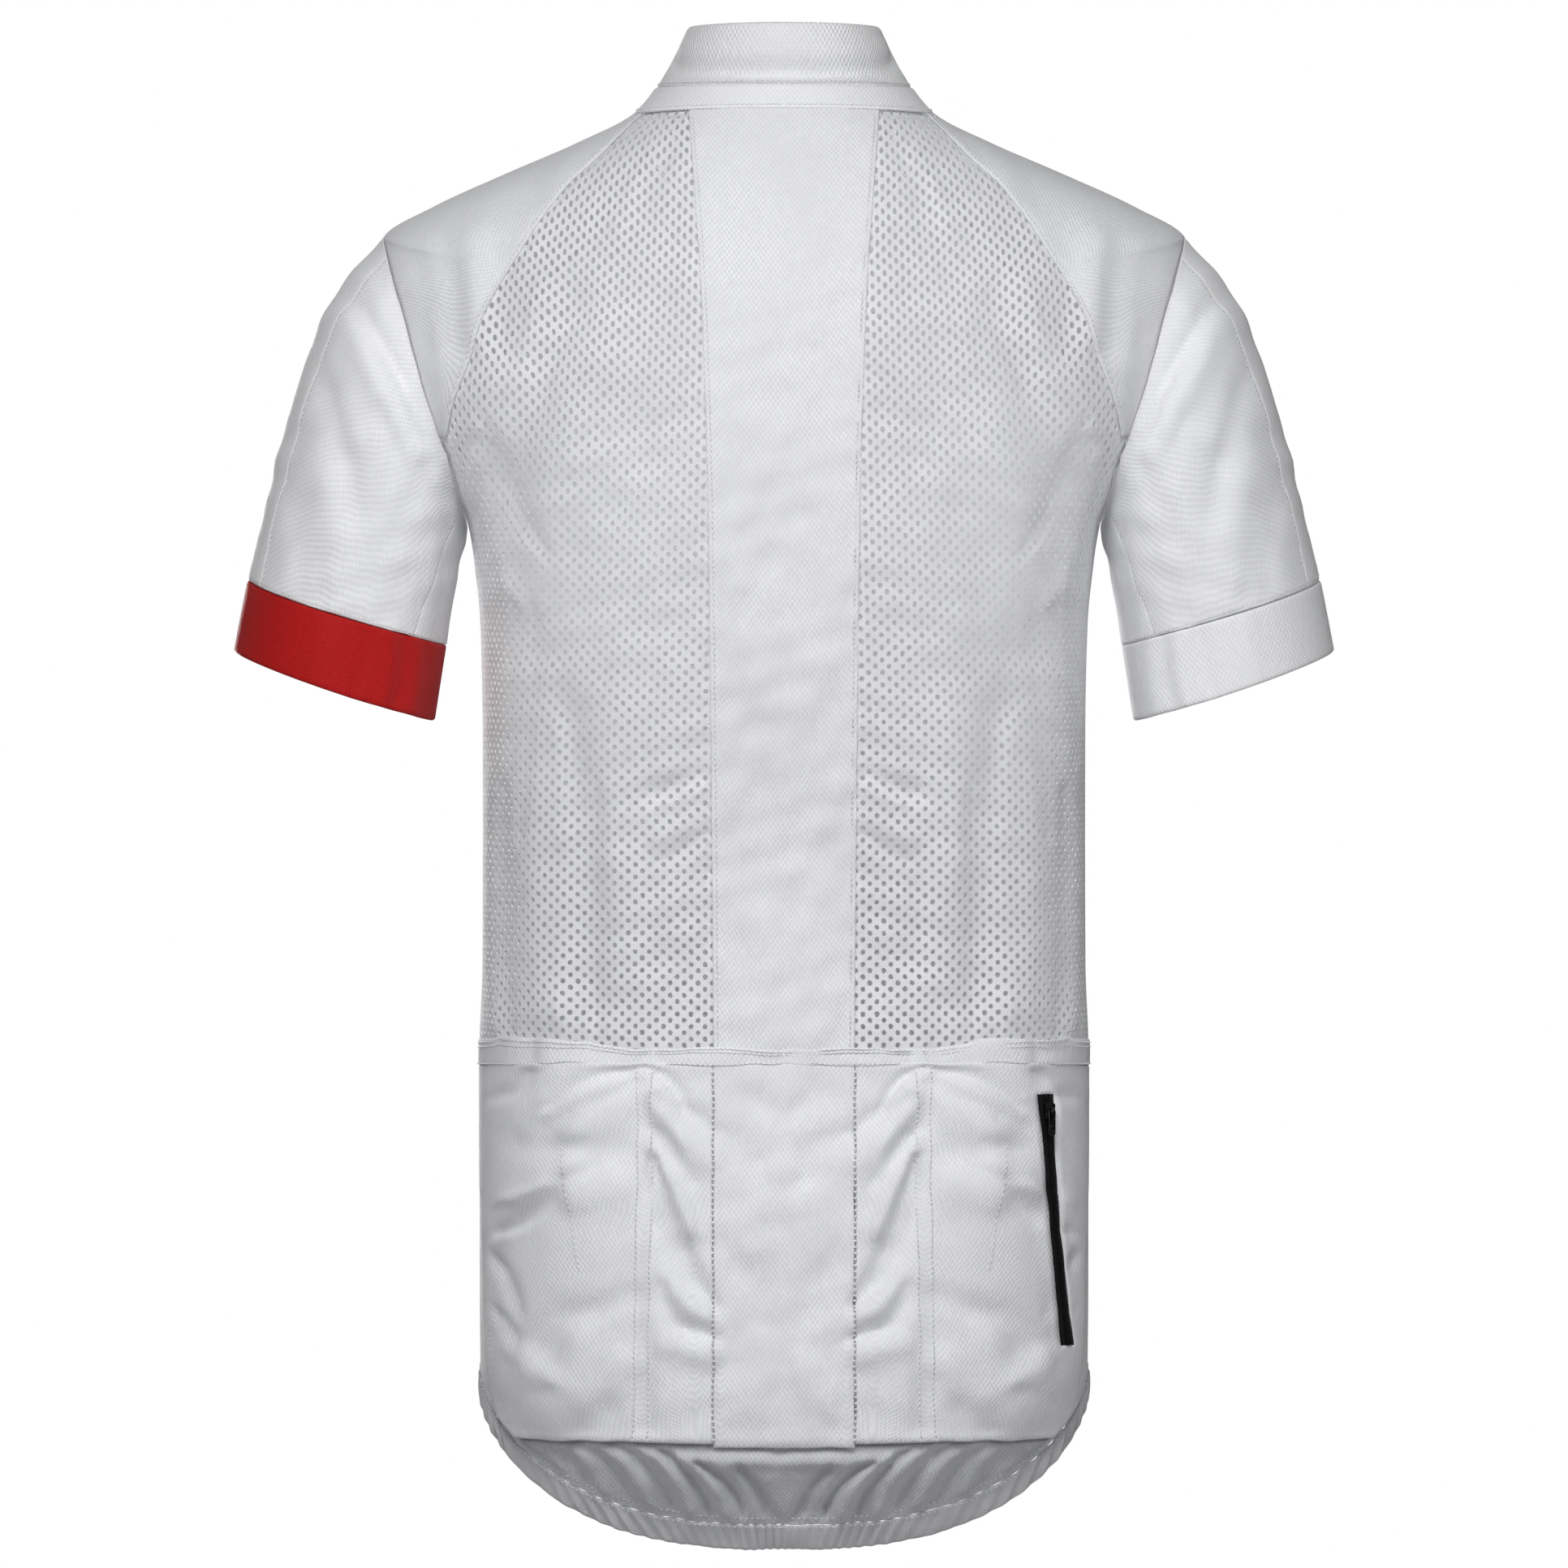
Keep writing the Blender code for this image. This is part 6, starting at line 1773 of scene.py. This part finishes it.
    def centre(self) -> None:
        """Middle pocket."""
        z = np.concatenate([self.mouth_rows, np.linspace(-468, self.foot - 0.8, 74),
                            [self.foot - 1.4, self.foot - 1.8]])
        edge, _ = FORM.place_on_back(np.full_like(z, self.centre_seam), z)
        shares = edge_shares(np.full(len(z), self.centre_width), 30)
        angle = -edge[:, None] * (1 - shares) + edge[:, None] * shares
        level = FORM.level_at(angle, np.broadcast_to(z[:, None], angle.shape))
        points = FORM.plain(angle, level)
        rise = self.rise(points[..., 0], points[..., 2])
        distance = np.minimum(shares, 1 - shares) * self.centre_width
        rise = rise + edge_drop(distance, 0.9, 1.6)
        rise = rise + edge_drop((z - self.foot + 1.8)[:, None], 0.7, 1.4)
        add_sheet("pocket_centre", ClothNet(FORM.cloth(angle, level, rise)), KNIT, PANEL_KNIT)

    def band_place(self, x: np.ndarray, share: float) -> np.ndarray:
        """Height of the band at a share of its own height from the top."""
        top = read_table(BAND_TOP, np.abs(x))
        return top + (self.band_foot + 0.4 - top) * share

    def band(self) -> None:
        """Elastic band from side seam to side seam."""
        side = float(FORM.side_seam(level_of(POCKET_SEAM)))
        columns = np.linspace(-side, side, 240)
        x = FORM.plain(columns, level_of(POCKET_SEAM))[:, 0]
        shares = np.concatenate([[0.0, 0.03, 0.09], np.linspace(0.16, 0.84, 7), [0.91, 0.97, 1.0]])
        z = np.stack([self.band_place(x, share) for share in shares])
        level = FORM.level_at(columns, z)
        below = np.full_like(z, self.band_foot - 2)
        stand = self.rise(np.broadcast_to(x, z.shape), below) + self.band_stand
        distance = np.minimum(shares, 1 - shares)[:, None] * 12
        pucker = 0.10 * np.sin(x * 2 * math.pi / 4.3 + 1.2 * np.sin(x / 9.0))[None, :]
        pucker = pucker * np.exp(-((shares - 0.55) / 0.3) ** 2)[:, None]
        net = ClothNet(FORM.cloth(columns, level, stand + pucker + edge_drop(distance, 0.4)))
        add_sheet("pocket_band", net, BAND, PANEL_KNIT)

    def zip_strip(self, angle: np.ndarray, level: np.ndarray, rise: np.ndarray, column: int,
                  first: int, last: int) -> None:
        """Tape and coil of the side pocket's zip."""
        rows = slice(first, last + 1)
        share = np.linspace(0.02, 0.98, 9)[None, :]
        edges = [(grid[rows, column], grid[rows, column + 3]) for grid in (angle, level, rise)]
        where = [a[:, None] * (1 - share) + b[:, None] * share for a, b in edges]
        dip = -0.6 + 0.9 * np.exp(-((share - 0.5) / 0.2) ** 2)
        points = FORM.cloth(where[0], where[1], where[2] + dip)
        points = points[:, ::-1] * MIRROR
        out = (FORM.out(where[0], where[1]) * MIRROR)[:, ::-1]
        add_zip("pocket_zip", points, out)

    def stitches(self) -> None:
        """Rows on the band, at the divisions, beside the middle pocket and on the sides."""
        sewing = Stitching("pocket_stitches")
        side = float(FORM.side_seam(level_of(POCKET_SEAM))) - 0.02
        columns = np.linspace(0.002, side, 240)
        x = FORM.plain(columns, level_of(POCKET_SEAM))[:, 0]
        stand = self.rise(x, np.full_like(x, self.band_foot - 2)) + self.band_stand
        for share in (0.13, 0.30, 0.93):
            level = FORM.level_at(columns, self.band_place(x, share))
            sewing.trunk_row(columns, level, stand + 0.12, pitch=2.6)
        lines = (
            (70.8, -467.0, 73.6, -649.0, 2.6, 0.5), (64.2, -467.0, 66.6, -649.0, 2.6, 0.5),
            (34.6, -466.0, 34.6, -649.0, 3.0, 0.8), (105.5, -504.0, 98.4, -565.0, 3.2, 0.46),
        )
        for x0, z0, x1, z1, pitch, radius in lines:
            z = np.linspace(z0, z1, 90)
            line = x0 + (x1 - x0) * (z - z0) / (z1 - z0)
            angle, level = FORM.place_on_back(line, z)
            sewing.trunk_row(angle, level, self.rise(line, z) + 0.05, pitch=pitch, radius=radius)
        sewing.finish_piece()


@dataclass
class HemBand:
    """Gathered elastic hem, one band at the back and one at the front."""

    pitch: float = 7.4
    stand: float = 0.6
    rise: float = 1.05
    thickness: float = 1.3
    height: float = 13.0
    radius: float = 150.0

    def ridges(self, along: np.ndarray, share: np.ndarray) -> np.ndarray:
        """Gathers by length along the band and share of its height, uneven as sewn."""
        wobble = 1.3 * np.sin(along / 23.0) + 0.9 * np.sin(along / 9.1 + 1.0)
        slant = 1.2 * np.sin(along / 31.0) * share
        turns = (along + wobble + slant) / self.pitch
        wave = 1 - 2 * np.abs(np.mod(turns, 1.0) - 0.5) * 2
        strength = 0.65 + 0.35 * np.sin(along / 13.0 + 0.7)
        fade = 0.35 + 0.65 * np.sin(np.pi * np.clip(share * 0.8 + 0.15, 0, 1))
        return self.rise * wave * strength * fade

    def band(self, left: np.ndarray, right: np.ndarray, node: str) -> None:
        """One band between two columns of border angles."""
        top, foot = level_of(HEM_SEAM) + 0.45, level_of(HEM)
        edge = FORM.plain(np.linspace(left[-1], right[-1], 300), foot)
        total = np.linalg.norm(np.diff(edge, axis=0), axis=-1).sum()
        columns = int(total / 0.95)
        shares = np.concatenate([[0, 0.03, 0.08], np.linspace(0.15, 0.85, 8),
                                 [0.92, 0.965, 0.99, 1.0]])
        levels = top + (foot - top) * shares
        begin = np.interp(shares, [0, 1], left)
        end = np.interp(shares, [0, 1], right)
        across = np.linspace(0, 1, columns + 1)[None, :]
        angle = begin[:, None] * (1 - across) + end[:, None] * across
        share = shares[:, None]
        rise = self.stand + self.ridges(across * total, share)
        rise = rise + edge_drop(share * self.height, 0.6)
        rise = rise + edge_drop((1 - share) * self.height, 1.1, 1.6)
        net = ClothNet(FORM.cloth(angle, levels[:, None], rise))
        # The greyer elastic knit is partly painted shade of the hem
        add_sheet(node, net, self.thickness, ELASTIC_SHADED_KNIT)

    def build(self) -> None:
        """Make both bands and their double row of stitches."""
        side = FORM.side_seam(np.array([level_of(HEM_SEAM), level_of(HEM)]))
        gap = GAP / self.radius
        self.band(-side + gap, side - gap, "hem_band_back")
        self.band(side + gap, 2 * math.pi - side - gap, "hem_band_front")
        sewing = Stitching("hem_stitches")
        for z_off, lift in ((3.0, 0.1), (-1.4, 0.75)):
            angle = np.linspace(0.002, math.pi - 0.002, 420)
            level = np.full_like(angle, level_of(HEM_SEAM) - z_off)
            sewing.trunk_row(angle, level, lift, pitch=2.8, radius=0.36)
        sewing.finish_piece()


@dataclass
class FrontZip:
    """Tape and coil down the front slit, from the collar's top edge."""

    half_width: float = 3.2
    top: float = 1.5

    def build(self) -> None:
        """Make the tape and its coil."""
        levels = np.linspace(self.top, FORM.front_level(FRONT_ZIP_END, 0) - 0.3, 150)
        dip = (-1.25, -1.15, 0.1, 0.3, -0.1, 0.3, 0.1, -1.15, -1.25)
        left = [FORM.front_slit(levels, self.half_width * share) for share in (2, 1.3, 0.5, 0.25)]
        right = [2 * math.pi - angle for angle in reversed(left)]
        angle = np.stack([*left, np.full_like(levels, math.pi), *right], axis=1)
        level = levels[:, None]
        add_zip("front_zip", FORM.cloth(angle, level, np.array(dip)), FORM.out(angle, level))


@dataclass
class Sliders:
    """Zip sliders and pull tabs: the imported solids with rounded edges."""

    round_off: float = 0.28
    bodies: dict = field(default_factory=lambda: {
        "front_zip_slider": BODY, "pocket_zip_slider": BODY,
        "front_zip_pull": "front_pull", "pocket_zip_pull": "pocket_pull",
    })

    def build(self) -> None:
        """Round each small part and give it its lacquer."""
        for node, body in self.bodies.items():
            mesh = bmesh.new()
            mesh.from_mesh(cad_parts[node].data)
            bmesh.ops.remove_doubles(mesh, verts=mesh.verts, dist=1e-6)
            bmesh.ops.dissolve_limit(mesh, angle_limit=math.radians(2), verts=mesh.verts,
                                     edges=mesh.edges)
            sharp = [edge for edge in mesh.edges
                     if edge.is_manifold and edge.calc_face_angle(0) > math.radians(35)]
            bmesh.ops.bevel(mesh, geom=sharp, offset=self.round_off * MM, offset_type="OFFSET",
                            segments=2, profile=0.5, affect="EDGES", clamp_overlap=True,
                            material=-1)
            data = mesh_of(f"{node}_lacquered", mesh)
            data.shade_smooth()
            data.set_sharp_from_angle(angle=math.radians(40))
            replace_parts(add_object(data, BLACK_LACQUER, body), node)
            LOG.info("%s rides on %s", data.name, body)


@dataclass
class Studio:
    """Camera at the photograph's angle, soft lights, bright world and pale floor."""

    distance: float = 24.0
    height: float = -0.3264
    view_width: float = 0.7728
    sensor: float = 36.0
    floor_height: float = -1.35
    floor_size: float = 12.0
    world_light: float = 0.03

    def camera(self) -> None:
        """Camera behind the wearer's back, level and far off."""
        data = bpy.data.cameras.new("photo_camera")
        data.sensor_width = self.sensor
        data.lens = self.sensor * self.distance / self.view_width
        data.clip_end = 60.0
        camera = linked(data.name, data)
        camera.location = (0.0, self.distance, self.height)
        camera.rotation_euler = (math.pi / 2, 0.0, math.pi)
        bpy.context.scene.camera = camera

    def light(self, name: str, kind: str, place: tuple, aim: tuple, power: float,
              **settings: float) -> None:
        """Add a light that looks from a place to an aim, itself unseen by the camera."""
        data = bpy.data.lights.new(name, kind)
        data.energy = power
        for key, value in settings.items():
            setattr(data, key, value)
        lamp = linked(name, data)
        lamp.location = place
        lamp.rotation_euler = (Vector(aim) - Vector(place)).to_track_quat("-Z", "Y").to_euler()
        lamp.visible_camera = False

    def lights(self) -> None:
        """High key light, two side lights, a spot on the pockets, and faint fills."""
        middle = (0.0, 0.0, -0.3)
        self.light("key_light", "AREA", (0.18, 1.9, 1.25), (0.0, 0.05, -0.2), 26.0, size=0.8)
        self.light("side_light_left", "AREA", (2.4, 2.2, 0.5), middle, 18.0, size=0.9)
        self.light("side_light_right", "AREA", (-2.4, 2.2, 0.5), middle, 21.0, size=0.9)
        self.light("pocket_spot", "SPOT", (0.18, 2.9, 1.6), (0.0, 0.10, -0.42), 150.0,
                   spot_size=math.radians(16.0), spot_blend=1.0, shadow_soft_size=0.4)
        self.light("front_light", "AREA", (0.3, -1.9, 0.9), (0.0, 0.0, -0.25), 6.0, size=1.4)
        self.light("front_spot", "SPOT", (0.7, -3.2, -0.25), middle, 330.0,
                   spot_size=math.radians(19.0), spot_blend=1.0, shadow_soft_size=0.4)
        self.light("inner_light", "POINT", (0.0, 0.02, -0.17), middle, 0.20,
                   shadow_soft_size=0.08)

    def world(self) -> None:
        """White world to the camera, softer as a light."""
        world = bpy.data.worlds.new("studio_white")
        world.use_nodes = True
        tree = Tree(world.node_tree)
        seen = tree.node("ShaderNodeLightPath").outputs["Is Camera Ray"]
        tree.feed(world.node_tree.nodes["Background"].inputs, {
            "Color": (1.0, 1.0, 1.0, 1.0),
            "Strength": tree.spread(seen, 0.0, 1.0, self.world_light, 1.0)})
        bpy.context.scene.world = world
        bpy.context.scene.view_settings.view_transform = "Standard"

    def floor(self) -> None:
        """Large pale floor far below the hem."""
        mesh = bmesh.new()
        bmesh.ops.create_circle(mesh, cap_ends=True, segments=64, radius=self.floor_size / 2)
        bmesh.ops.translate(mesh, vec=(0, 0, self.floor_height), verts=mesh.verts)
        data = mesh_of("studio_floor", mesh)
        data.materials.append(PALE_FLOOR.material())
        linked(data.name, data)

    def build(self) -> None:
        """Set up the studio."""
        for make in (self.camera, self.world, self.floor, self.lights):
            make()


def main() -> None:
    """Build the garment's pieces in order, then the studio."""
    logging.basicConfig(level=logging.INFO, format="%(message)s")
    for part in (Studio(), Neck(), MeshPanels(), Trunk(), Sleeves(), Pockets(), HemBand(),
                 FrontZip(), Sliders()):
        part.build()
        LOG.info("built %s", type(part).__name__)


if __name__ == "__main__":
    main()
